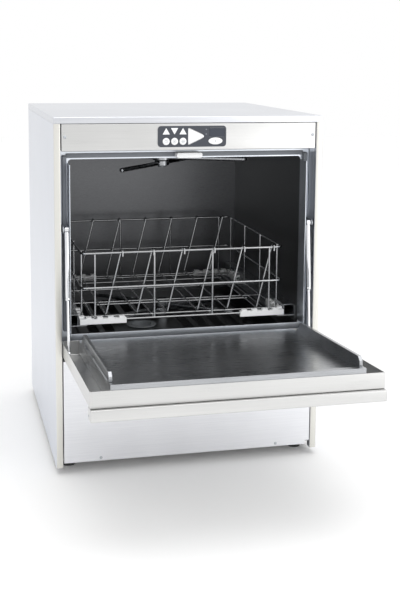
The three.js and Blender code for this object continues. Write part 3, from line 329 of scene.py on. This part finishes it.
# The same sheet with the grain running front to back on the top. Its tones are painted light: bluish and lighter
# than the front's, for the light that falls on the top.
STEEL_TOP_PAINTED_LIGHT = brushed_steel("stainless_brushed_top_painted_light", (90, 1, 1), ("#cfd1d6", "#dcdee2"), 0.30, 0.42, 1.0)


def upright_steel_painted_light():
    """Brushed side sheet, mixed to a second tone where the face looks forward along -Y: painted light, with bluish
    tones on the sides and a warmer tone on the forward faces for how light falls on each.
    """
    material = brushed_steel("stainless_brushed_upright_painted_light", (1, 1, 90), ("#cfd2d9", "#dde0e6"), 0.28, 0.42, 1.0)
    tree = material.node_tree
    # Painted light: faces that look forward along -Y take a warmer tone than the bluish sides.
    facing = node(tree, "ShaderNodeNewGeometry").outputs["True Normal"]
    facing = node(tree, "ShaderNodeSeparateXYZ", {0: facing}).outputs["Y"]
    share = node(tree, "ShaderNodeMapRange", {0: facing, 1: -0.5, 2: -0.9, 3: 0.0, 4: 1.0}).outputs[0]
    colour = tree.nodes["Principled BSDF"].inputs["Base Color"]
    tones = {"Factor": share, "A": colour.links[0].from_socket, "B": linear("#dcdbd5")}
    front_painted_tone = node(tree, "ShaderNodeMix", tones, data_type="RGBA")
    tree.links.new(front_painted_tone.outputs["Result"], colour)
    return material


# The same sheet with upright grain. Its tones are painted light: bluish on the sides and yellowish on its narrow
# front return, set by which way each face looks.
STEEL_UPRIGHT_PAINTED_LIGHT = upright_steel_painted_light()
# The lower front sheet, brushed level. Its tones are painted light: lighter and blue-white, for the light it takes
# from the floor.
STEEL_LOWER_PAINTED_LIGHT = brushed_steel("stainless_brushed_lower_painted_light", (90, 1, 1), ("#e2e3e7", "#edeef1"), 0.30, 0.42, 1.0)
# Stainless steel 1.4301 with a rolled 2B finish, cloudy. Its darker tones are painted shade, for parts deep inside
# the machine.
STEEL_ROLLED_PAINTED_SHADE = brushed_steel("stainless_rolled_2b_painted_shade", (6, 6, 1), ("#6d6e70", "#7c7d7f"), 0.26, 0.38, 1.0)


def chamber_steel_painted_shade_and_light():
    """Rolled 2B sheet whose front flange is lighter: the tone changes over 4 mm behind the flange's plane. The
    dark inside is painted shade, and the lighter flange is painted light against the fascia's shadow.
    """
    material, tree, principled = shader("stainless_rolled_chamber_painted_shade_and_light", Metallic=1.0)
    # Painted shade: the dark tones stand in for the shade inside the chamber.
    textured(tree, principled, 1.2, (6, 6, 1), 0.26, 0.38, 0.004, 1.0, tones=("#67686a", "#757678"))
    inside = principled.inputs["Base Color"].links[0].from_socket
    # Painted light: in front of this depth the flange takes a light blue-grey tone.
    place = node(tree, "ShaderNodeTexCoord").outputs["Object"]
    depth = node(tree, "ShaderNodeSeparateXYZ", {0: place}).outputs["Y"]
    plane = span("door_seal")[1][1]
    share = node(tree, "ShaderNodeMapRange", {0: depth, 1: plane + 2 * MM, 2: plane + 6 * MM, 3: 0.0, 4: 1.0})
    tones = {"Factor": share.outputs[0], "A": linear("#e6ebf2"), "B": inside}
    tone = node(tree, "ShaderNodeMix", tones, data_type="RGBA")
    tree.links.new(tone.outputs["Result"], principled.inputs["Base Color"])
    return material


# The wash chamber with painted shade and light: dull dark sheet inside as painted shade, and a lighter blue-grey
# frame round its mouth as painted light.
STEEL_CHAMBER_PAINTED_SHADE_AND_LIGHT = chamber_steel_painted_shade_and_light()
# The same rolled sheet on the inner face of the door. Its tones are painted light: lighter than the chamber's
# because it faces the room.
STEEL_DOOR_PAINTED_LIGHT = brushed_steel("stainless_rolled_door_painted_light", (40, 1, 1), ("#a2a4a7", "#b6b8bb"), 0.22, 0.34, 1.0)


def plain(name, colour, size_mm, low, high, bump_mm, bevel_mm=0.6, **values):
    """A finish with an even grain: moulding texture, casting skin or print."""
    material, tree, principled = shader(name, **{"Base Color": linear(colour), **values})
    textured(tree, principled, size_mm, (1, 1, 1), low, high, bump_mm, bevel_mm)
    return material


# Electropolished stainless wire: bright, with the soft waviness that drawing leaves.
WIRE = plain("stainless_wire_electropolished", "#b9babb", 3.0, 0.12, 0.22, 0.02, 0, Metallic=1.0)
# Ground and polished stainless rod and tube of the gas springs.
POLISHED = plain("stainless_polished_rod", "#e4e5e7", 1.5, 0.08, 0.16, 0.005, 0.4, Metallic=1.0)
# Zinc-plated steel of hinges and screws: dull grey-white with a fine crystalline skin.
ZINC = plain("zinc_plated_steel", "#b9bdc2", 0.8, 0.30, 0.46, 0.02, 0.4, Metallic=1.0)
# Polypropylene, injection moulded: slightly waxy white with a fine spark-eroded texture.
WAXY = {"Subsurface Weight": 0.08, "Subsurface Radius": (1, 1, 1), "Subsurface Scale": 1.5 * MM}
WHITE_PLASTIC = plain("polypropylene_moulded_white", "#f8f9fa", 0.7, 0.34, 0.48, 0.02, 0.8, IOR=1.49, **WAXY)
# Membrane of the keys: smooth glossy white polyester.
KEY_WHITE = plain("polyester_key_white", "#f4f5f5", 0.9, 0.20, 0.30, 0.008, 0.3, IOR=1.57)
# Polyester overlay film, screen printed slate from behind: even satin with a very fine grain.
OVERLAY = plain("polyester_overlay_slate", "#373b44", 0.5, 0.34, 0.46, 0.012, 0.5, IOR=1.57)
# Screen-printed ink, white and dark grey.
INK_WHITE = plain("screen_ink_white", "#f2f3f3", 0.4, 0.45, 0.55, 0.005, 0, IOR=1.5)
INK_GREY = plain("screen_ink_grey", "#8b8f96", 0.4, 0.45, 0.55, 0.005, 0, IOR=1.5)
# Acrylic display window, tinted almost as dark as the overlay.
WINDOW = plain("acrylic_window_tinted", "#3a3f49", 6.0, 0.06, 0.10, 0.002, 0.4, IOR=1.49)
# Silicone door seal, extruded: soft mid grey with a dusty bloom.
RUBBER = plain("silicone_extruded_grey", "#84888e", 0.9, 0.55, 0.72, 0.03, 0.6, IOR=1.43)
# Glass-filled polyamide of the feet and cable gland, moulded black.
POLYAMIDE = plain("polyamide_glass_filled_black", "#1b1c1e", 0.6, 0.42, 0.58, 0.03, 0.5, IOR=1.53)
# Grey glass-filled polypropylene of pumps, posts and strainer.
GREY_PLASTIC = plain("polypropylene_glass_filled_grey", "#85898d", 0.9, 0.40, 0.58, 0.04, 0.8, IOR=1.5)
# Black EPDM hose and its clamps.
HOSE = plain("epdm_hose_wrapped", "#232427", 1.6, 0.55, 0.72, 0.08, 0.6, IOR=1.52)
# Fibreglass circuit board under green solder mask.
BOARD = plain("fibreglass_board_green", "#24563a", 2.0, 0.28, 0.42, 0.03, 0.3, IOR=1.55)

# ------------------------------------------------------------------ cabinet sheets
low, high = span("top_panel")
middle, size = (low + high) / 2, high - low
piece("top_sheet", [pressed_pan(size[0], size[1], size[2], SHEET, 2.5 * MM,
                                (middle[0], middle[1], high[2]), RIGHT, INTO, -UP)],
      STEEL_TOP_PAINTED_LIGHT, "cabinet", ["top_panel"])

for side, name in ((-1, "left"), (1, "right")):
    node_name = "side_panel_" + name
    low, high = span(node_name)
    deep = high[1] - low[1]
    fold_line = np.array([
        [0, 0], [STILE, 0], [STILE, STILE_DEEP], [STILE - SHEET, STILE_DEEP], [STILE - SHEET, SHEET],
        [SHEET, SHEET], [SHEET, deep - SHEET], [REAR_RETURN, deep - SHEET], [REAR_RETURN, deep], [0, deep]])
    rounded = soften(fold_line, 2.2 * MM)
    edge = low[0] if side < 0 else high[0]
    body = extruded(rounded, low[2], high[2], (edge, low[1], 0), -side * RIGHT, INTO, UP)
    piece("side_sheet_" + name, [body], STEEL_UPRIGHT_PAINTED_LIGHT, "cabinet", [node_name])

# Flat strips close the way between each front upright and the chamber's flange, behind the struts.
flange_plane = span("door_seal")[1][1]
strip_top = span("control_fascia")[0][2] - 1 * MM
strip_bottom = span("lower_front_panel")[1][2] + 1 * MM
for side, name in ((-1, "left"), (1, "right")):
    low, high = span("side_panel_" + name)
    edge = low[0] if side < 0 else high[0]
    start = STILE_DEEP + SHEET_GAP
    reach = flange_plane - low[1] - SHEET_GAP
    section = np.array([[STILE, start], [STILE, reach], [STILE - SHEET, reach], [STILE - SHEET, start]])
    body = extruded(section, strip_bottom, strip_top, (edge, low[1], 0), -side * RIGHT, INTO, UP)
    piece("jamb_strip_" + name, [body], STEEL_UPRIGHT_PAINTED_LIGHT, "cabinet")

low, high = span("control_fascia")
middle, size = (low + high) / 2, high - low
piece("fascia_sheet", [pressed_pan(size[0], size[2], size[1], SHEET, 2.0 * MM,
                                   (middle[0], low[1], middle[2]), RIGHT, UP, INTO)],
      STEEL_LEVEL, "cabinet", ["control_fascia"])


def screw_head(place, outward, across, radius):
    """A button head with a six-lobed recess: a turned dome, its recess swelling six times round."""
    rise = radius * 0.42
    dome = turned([[radius, 0], [radius, rise * 0.25], [radius * 0.8, rise * 0.8], [radius * 0.52, rise],
                   [radius * 0.50, rise * 0.98]], place, outward, across, 30)
    recess = turned([[radius * 0.50, rise * 0.985], [radius * 0.42, rise * 0.35], [radius * 0.1, rise * 0.3]],
                    place, outward, across, 30, ribs=6, rib_depth=0.10)
    return [dome, recess]


low, high = span("control_fascia")
over_low, over_high = span("control_overlay")
for side, name in ((-1, "left"), (1, "right")):
    place = (side * (high[0] - FASCIA_SCREW_INSET), low[1], (over_low[2] + over_high[2]) / 2 + MM)
    piece("fascia_screw_" + name, screw_head(place, -INTO, RIGHT, SCREW), ZINC, "cabinet")
low, high = span("lower_front_panel")
for side, name in ((-1, "left"), (1, "right")):
    place = (side * LOWER_SCREW_X, low[1], low[2] + LOWER_SCREW_RISE)
    piece("lower_screw_" + name, screw_head(place, -INTO, RIGHT, SCREW), ZINC, "cabinet")

# ------------------------------------------------------------------ control strip
front = over_low[1]
strip = np.array([(over_low[0] + over_high[0]) / 2, front, (over_low[2] + over_high[2]) / 2])


def printed(outlines):
    """Flat ink marks: each outline, in millimetres from the strip's middle, drawn one print thick."""
    return [extruded(np.array(o) * MM, 0, PRINT, strip, RIGHT, UP, -INTO) for o in outlines]


def triangle(x, z, up):
    """An arrowhead 16 wide and 14 high with its corners eased."""
    lift = 7 if up else -7
    return soften([[x - 8, z - lift], [x + 8, z - lift], [x, z + lift]], 1.2)


arrows = [triangle(-57.8, 11.6, True), triangle(-39.4, 11.4, False), triangle(-20.7, 11.6, True)]
piece("arrow_marks", printed(arrows), INK_WHITE, "cabinet")
lamps = [rounded_rectangle(3.2, 2.0, 0.9) + [31.1, height] for height in (15.0, 4.8)]
piece("lamp_marks", printed(lamps), INK_GREY, "cabinet")

KEY_DOME = [(0.985, 0.0), (1.0, 0.4 * MM), (1.0, 4.1 * MM), (0.98, 4.6 * MM), (0.93, 4.88 * MM),
            (0.5, 5.0 * MM), (0.05, 5.0 * MM)]
for number in (1, 2, 3):
    name = f"program_key_{number}"
    low, high = span(name)
    middle = (low + high) / 2
    radius = (high[0] - low[0]) / 2
    turn = np.linspace(0, 2 * math.pi, 48, endpoint=False)
    disc = radius * np.stack([np.cos(turn), np.sin(turn)], 1)
    cap = domed(disc, KEY_DOME, (middle[0], high[1], middle[2]), RIGHT, UP, -INTO)
    piece(f"program_cap_{number}", [cap], KEY_WHITE, name, [name])
    face = (middle[0], low[1], middle[2])
    ring = turned([[3.4 * MM, 0], [3.4 * MM, GLYPH], [2.8 * MM, GLYPH], [2.8 * MM, 0]],
                  face, -INTO, RIGHT, 32, wrap=True)
    mark = rounded_rectangle(0.7 * MM, 2.6 * MM, 0.3 * MM)
    bars = [extruded(mark + [(k - (number - 1) / 2) * 1.3 * MM, 0], 0, GLYPH, face, RIGHT, UP, -INTO)
            for k in range(number)]
    piece(f"program_glyph_{number}", [ring] + bars, INK_GREY, name)

low, high = span("start_key")
middle, half = (low + high) / 2, (high - low) / 2
arrow = soften([[-half[0], -half[2]], [half[0] + 3.4 * MM, 0], [-half[0], half[2]]], 5 * MM, steps=9)
arrow[:, 0] = np.clip(arrow[:, 0], -half[0], half[0])
cap = domed(arrow, KEY_DOME, (middle[0], high[1], middle[2]), RIGHT, UP, -INTO)
piece("start_cap", [cap], KEY_WHITE, "start_key", ["start_key"])
low, high = span("power_key")
middle, size = (low + high) / 2, high - low
turn = np.linspace(0, 2 * math.pi, 56, endpoint=False)
oval = np.stack([size[0] / 2 * np.cos(turn), size[2] / 2 * np.sin(turn)], 1)
cap = domed(oval, KEY_DOME, (middle[0], high[1], middle[2]), RIGHT, UP, -INTO)
piece("power_cap", [cap], KEY_WHITE, "power_key", ["power_key"])
face = (middle[0], low[1], middle[2])
bar = extruded(rounded_rectangle(0.9 * MM, 5.5 * MM, 0.4 * MM), 0, GLYPH, face, RIGHT, UP, -INTO)
piece("power_glyph", [bar], INK_GREY, "power_key")

# ------------------------------------------------------------------ door
door_axes = (RIGHT, ALONG, ACROSS)


def on_door(x, along, across):
    """The place of a point given by its distance sideways, along and across the door from the hinge line."""
    return PIVOT + x * RIGHT + along * ALONG + across * ACROSS


low, high = span("door_outer_panel", PIVOT, door_axes)
door_half = high[0]
inner_wall = door_half - SHEET
skin_pan = pressed_pan(2 * door_half, high[1] - low[1], high[2] - low[2], SHEET, 2.5 * MM,
                       on_door(0, (low[1] + high[1]) / 2, low[2]), RIGHT, ALONG, ACROSS)
strut_line = JOINTS["strut_swing_right"]["pos_m"][0]
pins = []
for side in (-1, 1):
    reach = inner_wall - strut_line - 4.2 * MM
    root = on_door(side * inner_wall, STRUT_FOOT_ALONG, STRUT_FOOT_ACROSS)
    pins.append(turned([[3 * MM, -0.4 * MM], [3 * MM, reach - 0.6 * MM], [2.4 * MM, reach]],
                       root, -side * RIGHT, ALONG, 24))
piece("door_skin", [skin_pan] + pins, STEEL_LEVEL, "door", ["door_outer_panel"])

low, high = span("door_handle", PIVOT, door_axes)
near, tip, bottom, top = low[1], high[1], low[2], high[2]
lip = near + 12 * MM
hook = soften([[top, near], [top, tip], [bottom, tip], [bottom, lip], [bottom + 6 * MM, lip],
               [bottom + 6 * MM, lip + SHEET], [bottom + SHEET, lip + SHEET], [bottom + SHEET, tip - SHEET],
               [top - SHEET, tip - SHEET], [top - SHEET, near]], 2.4 * MM)
handle = [extruded(hook, -door_half + SHEET, door_half - SHEET, PIVOT, ACROSS, ALONG, RIGHT)]
for side in (-1, 1):
    end = on_door(side * door_half, (tip + lip) / 2, (top + bottom) / 2)
    handle.append(pillow(tip - lip, top - bottom, SHEET, 0.5 * MM, end,
                         ALONG, ACROSS, -side * RIGHT, 2.2 * MM))
piece("handle_lip", handle, STEEL_LEVEL, "door", ["door_handle"])
piece("handle_screw", screw_head(on_door(-door_half, lip + 9 * MM, bottom + 7 * MM), -RIGHT, ALONG, 2.2 * MM),
      ZINC, "door")

# ------------------------------------------------------------------ rack of round wire
shoe_low = span("rack_shoe_front_left")[0]
back_high = span("rack_shoe_rear_right")[1]
HALF = -shoe_low[0] - 5 * MM
RACK = np.array([0, (shoe_low[1] + back_high[1]) / 2, shoe_low[2]])
FLOOR, MIDDLE, RIM = 8 * MM, 81.5 * MM, 160 * MM
THICK, THIN, SLIM = 2.5 * MM, 2.2 * MM, 2.0 * MM
far = HALF - 30 * MM
stations = np.array([-far, -far / 3, far / 3, far])


def rack_wire(points, radius, bend=0.0, across=(0, 0, 1), closed=False, sides=10):
    """A wire through points measured from the middle of the rack's floor, with rounded bends."""
    points = np.array(points, float)
    path = soften(points, bend, closed, 7) if bend else points
    return carried(RACK + path, radius, across, sides, closed)


wires = []
for height in (FLOOR, MIDDLE, RIM):
    square = [[-HALF, -HALF, height], [HALF, -HALF, height], [HALF, HALF, height], [-HALF, HALF, height]]
    wires.append(rack_wire(square, THICK, 14 * MM, closed=True))
inset, upright_top = HALF - 3 * MM, RIM + 1.5 * MM
for p in stations:
    for s in (-1, 1):
        wires.append(rack_wire([[p, s * inset, FLOOR], [p, s * inset, upright_top]], THIN, across=(1, 0, 0)))
        wires.append(rack_wire([[s * inset, p, FLOOR], [s * inset, p, upright_top]], THIN, across=(1, 0, 0)))
    wires.append(rack_wire([[p, -HALF, FLOOR - 1.4 * MM], [p, HALF, FLOOR - 1.4 * MM]], THIN))
    wires.append(rack_wire([[-HALF, p, FLOOR + 1.4 * MM], [HALF, p, FLOOR + 1.4 * MM]], THIN))
piece("rack_wires", wires, WIRE, "rack", ["rack_basket"])

reach = HALF - 11.7 * MM
foot, crest, hook = FLOOR + 8.2 * MM, RIM + 5 * MM, HALF + 4.9 * MM
lean = 36 * MM
first, last = -HALF + 55.6 * MM, HALF - 21 * MM - lean
supports = [rack_wire([[first - 6 * MM, y, foot], [last + 6 * MM, y, foot]], SLIM)
            for y in (-120 * MM, 120 * MM)]
for x in np.linspace(first, last, 6):
    top = x + lean
    supports.append(rack_wire([
        [top, -hook, crest - 13 * MM], [top, -hook, crest], [top, -reach, crest], [x, -reach, foot],
        [x, reach, foot], [top, reach, crest], [top, hook, crest], [top, hook, crest - 13 * MM]],
        SLIM, 5 * MM, across=(1, 0, 0)))
piece("tray_supports", supports, WIRE, "rack", ["tray_dividers"])

# ------------------------------------------------------------------ spray arms
def spray_arm(name, spray):
    """A hollow pressed arm or a rinse tube on its hub, with nozzles on the side that sprays.

    Its sections are rounded rectangles whose half width falls in a straight line from 40 mm out to the tip
    and then closes in a quarter round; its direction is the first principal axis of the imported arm.
    """
    hub = np.array([0, JOINTS[name + "_spin"]["pos_m"][1], 0])
    mesh = NODES[name].data
    points = np.zeros(len(mesh.vertices) * 3)
    mesh.vertices.foreach_get("co", points)
    flat = points.reshape(-1, 3)[:, :2] - hub[:2]
    line = np.append(np.linalg.svd(flat, full_matrices=False)[2][0], 0)
    flank = np.cross(UP, line)
    low, high = span(name, hub, (line, flank, UP))
    long, centre = high[0] - 0.5 * MM, (low[2] + high[2]) / 2
    wash = "wash" in name
    if wash:
        station = np.array([0, 0.35, 0.72, 0.93, 1.0])
        end = 1000 * long - 8
        u = np.concatenate([[0, 20, 40], np.linspace(60, end, 8), end + 8 * station[1:]]) * MM
        half = np.interp(u, [0, 40 * MM, long], [17 * MM, 17 * MM, 9.4 * MM])
        half *= np.concatenate([np.ones(len(u) - 4), [0.94, 0.74, 0.45, 0.12]])
        u, half = np.concatenate([-u[:0:-1], u]), np.concatenate([half[:0:-1], half])
        unit = rounded_rectangle(2.0, 2.0, 0.75)
        tall = 6 * MM * np.minimum(1, half / (9 * MM)) ** 0.5
        rings = (hub + u[:, None, None] * line + half[:, None, None] * unit[None, :, :1] * flank
                 + (centre + tall[:, None, None] * unit[None, :, 1:]) * UP)
        parts = [skin(rings)]
        profile = [[9.4, -7.6], [23, -7.6], [24, -6.6], [24, 6.6], [23, 7.6], [9.4, 7.6]]
        outlets, lift, mouth = np.arange(70, 200, 40), 5.9 * MM, 4.2
    else:
        reach = long - 0.5 * MM
        parts = [carried(hub + centre * UP + np.linspace(-reach, reach, 9)[:, None] * line, 5 * MM, UP, 20)]
        profile = [[6.4, -5.9], [17, -5.9], [18, -5.2], [18, 5.2], [17, 5.9], [6.4, 5.9]]
        outlets, lift, mouth = np.arange(50, 190, 34), 4.6 * MM, 2.6
    parts.append(turned(np.array(profile) * MM, hub + centre * UP, UP, line, 44, wrap=True))
    nozzle = np.array([[0.9, -0.4], [mouth, -0.4], [mouth * 0.9, 1.0], [mouth * 0.5, 1.3], [0.9, 0.9]]) * MM
    for x in outlets * MM:
        for s in (-1, 1):
            place = hub + centre * UP + s * x * line + spray * lift * UP
            parts.append(turned(nozzle, place, spray * UP, line, 20, wrap=True))
    piece(name + "_pressed", parts, STEEL_DOOR_PAINTED_LIGHT, BODY_OF[name], [name])


for name in ("lower_wash_arm", "lower_rinse_arm"):
    spray_arm(name, 1)
for name in ("upper_wash_arm", "upper_rinse_arm"):
    spray_arm(name, -1)

# ------------------------------------------------------------------ gas struts
for side in ("left", "right"):
    pivot = np.array(JOINTS["strut_swing_" + side]["pos_m"])
    down = np.array(JOINTS["strut_slide_" + side]["axis"])
    tube_end = span("strut_tube_" + side, pivot, (RIGHT, INTO, down))[1][2]
    rod_low, rod_high = span("strut_rod_" + side, pivot, (RIGHT, INTO, down))
    eye = rod_high[2] - 6 * MM
    barrel = turned(np.array([[0.2, 4], [4.4, 4], [5.3, 5], [5.5, 6.5], [5.5, 145], [5.1, 146], [5.1, 147.5],
                              [5.5, 148.5], [5.5, 151.2], [5.0, 152], [3.75, 152], [3.7, 151], [3.7, 12],
                              [0.2, 12]]) * MM
                    + [0, tube_end - 152 * MM], pivot, down, RIGHT, 32)
    collar = np.array([[3.2, -4.4], [3.2, 4.4], [6.4, 4.4], [7.0, 3.8], [7.0, -3.8], [6.4, -4.4]])
    knuckle = turned(collar * MM, pivot, RIGHT, down, 32, wrap=True)
    piece("strut_barrel_" + side, [barrel, knuckle], POLISHED, "strut_tube_" + side,
          ["strut_tube_" + side])
    shaft = turned([[0.2 * MM, rod_low[2]], [2.6 * MM, rod_low[2]], [3 * MM, rod_low[2] + 0.6 * MM],
                    [3 * MM, eye - 7 * MM], [3.6 * MM, eye - 6 * MM], [3.6 * MM, eye - 3.6 * MM],
                    [0.2 * MM, eye - 3.6 * MM]], pivot, down, RIGHT, 28)
    ring = turned(np.array([[2.6, -2.9], [2.6, 2.9], [5.5, 2.9], [6.0, 2.4], [6.0, -2.4], [5.5, -2.9]]) * MM,
                  pivot + eye * down, RIGHT, down, 28, wrap=True)
    piece("strut_shaft_" + side, [shaft, ring], POLISHED, "strut_rod_" + side,
          ["strut_rod_" + side])

# ------------------------------------------------------------------ feet, seal and catch
thread = np.array([[5.0 - 0.45 * (k % 2), 15.5 + 0.6 * k] for k in range(52)])
for corner in ("front_left", "front_right", "rear_left", "rear_right"):
    low, high = span("foot_" + corner)
    place = ((low[0] + high[0]) / 2, (low[1] + high[1]) / 2, low[2])
    pad = turned(np.array([[0.3, 0], [14, 0], [15.2, 0.8], [15.3, 2], [15.3, 5.6], [14.6, 6.6], [8.4, 9.2],
                           [8.0, 9.8], [8.0, 14.4], [7.4, 15], [0.3, 15]]) * MM,
                 place, UP, RIGHT, 96, ribs=24, rib_depth=0.012)
    rows = np.vstack([[[0.3, 14.8], [5.0, 14.8]], thread, [[4.2, 47.6], [0.3, 48]]])
    stem = turned(rows * MM, place, UP, RIGHT, 24)
    piece("levelling_foot_" + corner, [pad, stem], POLYAMIDE, "cabinet", ["foot_" + corner])

low, high = span("door_seal")
width, front = 10 * MM, low[1]
tall = high[2] - 4 * MM - low[2]
strips = [pillow(width, tall, high[1] - front, 3 * MM, (s * (high[0] - width / 2), front, low[2] + tall / 2),
                 RIGHT, UP, INTO, 3 * MM) for s in (-1, 1)]
strips.append(pillow(2 * (high[0] - width) + 2 * MM, width, 2.7 * MM, 1.1 * MM,
                     (0, high[1] - 2.7 * MM, high[2] - width / 2), RIGHT, UP, INTO, 2 * MM))
piece("seal_strips", strips, RUBBER, "cabinet", ["door_seal"])

low, high = span("door_catch")
middle, size = (low + high) / 2, high - low
tongue = pillow(size[0], size[2], size[1], 2.2 * MM,
                (middle[0], low[1], middle[2]), RIGHT, UP, INTO, 4.5 * MM)
piece("catch_tongue", [tongue], WHITE_PLASTIC, "door_catch", ["door_catch"])

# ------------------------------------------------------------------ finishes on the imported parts
FINISH = {
    "rear_panel": STEEL_UPRIGHT_PAINTED_LIGHT, "base_frame": STEEL_LEVEL, "lower_front_panel": STEEL_LOWER_PAINTED_LIGHT,
    "control_overlay": OVERLAY, "display_window": WINDOW, "control_board": BOARD,
    "wash_tank": STEEL_CHAMBER_PAINTED_SHADE_AND_LIGHT, "tank_filter": STEEL_ROLLED_PAINTED_SHADE, "tank_heater": POLISHED,
    "rinse_boiler": STEEL_ROLLED_PAINTED_SHADE,
    "rack_guide_left": STEEL_DOOR_PAINTED_LIGHT, "rack_guide_right": STEEL_DOOR_PAINTED_LIGHT, "door_inner_panel": STEEL_DOOR_PAINTED_LIGHT,
    "sump_strainer": GREY_PLASTIC, "overflow_pipe": WHITE_PLASTIC, "lower_post": GREY_PLASTIC,
    "upper_post": GREY_PLASTIC, "wash_pump": GREY_PLASTIC, "supply_pipe": HOSE, "drain_pump": POLYAMIDE,
    "detergent_pump": GREY_PLASTIC, "rinse_aid_pump": GREY_PLASTIC, "inlet_valve": WHITE_PLASTIC,
    "cable_gland": POLYAMIDE, "hinge_left": ZINC, "hinge_right": ZINC, "strut_mount_left": ZINC,
    "strut_mount_right": ZINC, "rack_shoe_front_left": WHITE_PLASTIC, "rack_shoe_front_right": WHITE_PLASTIC,
    "rack_shoe_rear_left": WHITE_PLASTIC, "rack_shoe_rear_right": WHITE_PLASTIC,
}
for name, material in FINISH.items():
    for slot in NODES[name].material_slots:
        slot.material = material

# ------------------------------------------------------------------ studio
def placed(item, x_axis, y_axis, z_axis, place):
    """Links an object into the scene with its three axes along given directions."""
    bpy.context.scene.collection.objects.link(item)
    columns = np.column_stack([x_axis, y_axis, z_axis, place])
    item.matrix_world = Matrix(np.vstack([columns, [0, 0, 0, 1]]).tolist())


floor_mesh = bpy.data.meshes.new("studio_floor")
floor_mesh.from_pydata([(-9, -9, 0), (9, -9, 0), (9, 9, 0), (-9, 9, 0)], [], [(0, 1, 2, 3)])
floor = bpy.data.objects.new("studio_floor", floor_mesh)
bpy.context.scene.collection.objects.link(floor)
# Matt white studio paper.
PAPER = plain("studio_paper_matt", "#ffffff", 4.0, 0.85, 0.95, 0.02, 0)
floor_mesh.materials.append(PAPER)

world = bpy.data.worlds.new("studio")
world.use_nodes = True
world.node_tree.nodes["Background"].inputs["Color"].default_value = (1.0, 1.0, 1.0, 1.0)
world.node_tree.nodes["Background"].inputs["Strength"].default_value = 1.0
bpy.context.scene.world = world
bpy.context.scene.view_settings.view_transform = "Standard"


def soft_light(name, place, aim, width, height, power):
    """A rectangular studio light that faces a point."""
    data = bpy.data.lights.new(name, "AREA")
    data.shape, data.size, data.size_y, data.energy = "RECTANGLE", width, height, power
    back = np.array(place) - np.array(aim, float)
    back /= np.linalg.norm(back)
    side = np.cross(UP, back)
    side /= np.linalg.norm(side)
    placed(bpy.data.objects.new(name, data), side, np.cross(back, side), back, place)


soft_light("key_front_right", (2.6, -3.0, 1.3), (0.2, 0, 0.5), 2.4, 2.6, 32)
soft_light("fill_top", (0.2, -0.6, 3.2), (0, 0, 0.4), 2.6, 2.2, 26)

# ------------------------------------------------------------------ camera
YAW, PITCH, ROLL = math.radians(13.83), math.radians(-7.809), math.radians(0.469)
forward = np.array([math.sin(YAW) * math.cos(PITCH), math.cos(YAW) * math.cos(PITCH), math.sin(PITCH)])
level_right = np.array([math.cos(YAW), -math.sin(YAW), 0])
level_up = np.cross(level_right, forward)
right = math.cos(ROLL) * level_right + math.sin(ROLL) * level_up
up = math.cos(ROLL) * level_up - math.sin(ROLL) * level_right
lens = bpy.data.cameras.new("camera")
lens.lens, lens.sensor_width, lens.shift_y = 64.38, 36.0, -1 / 6
camera = bpy.data.objects.new("camera", lens)
placed(camera, right, up, -forward, (-0.5377, -2.3558, 0.9210))
bpy.context.scene.camera = camera
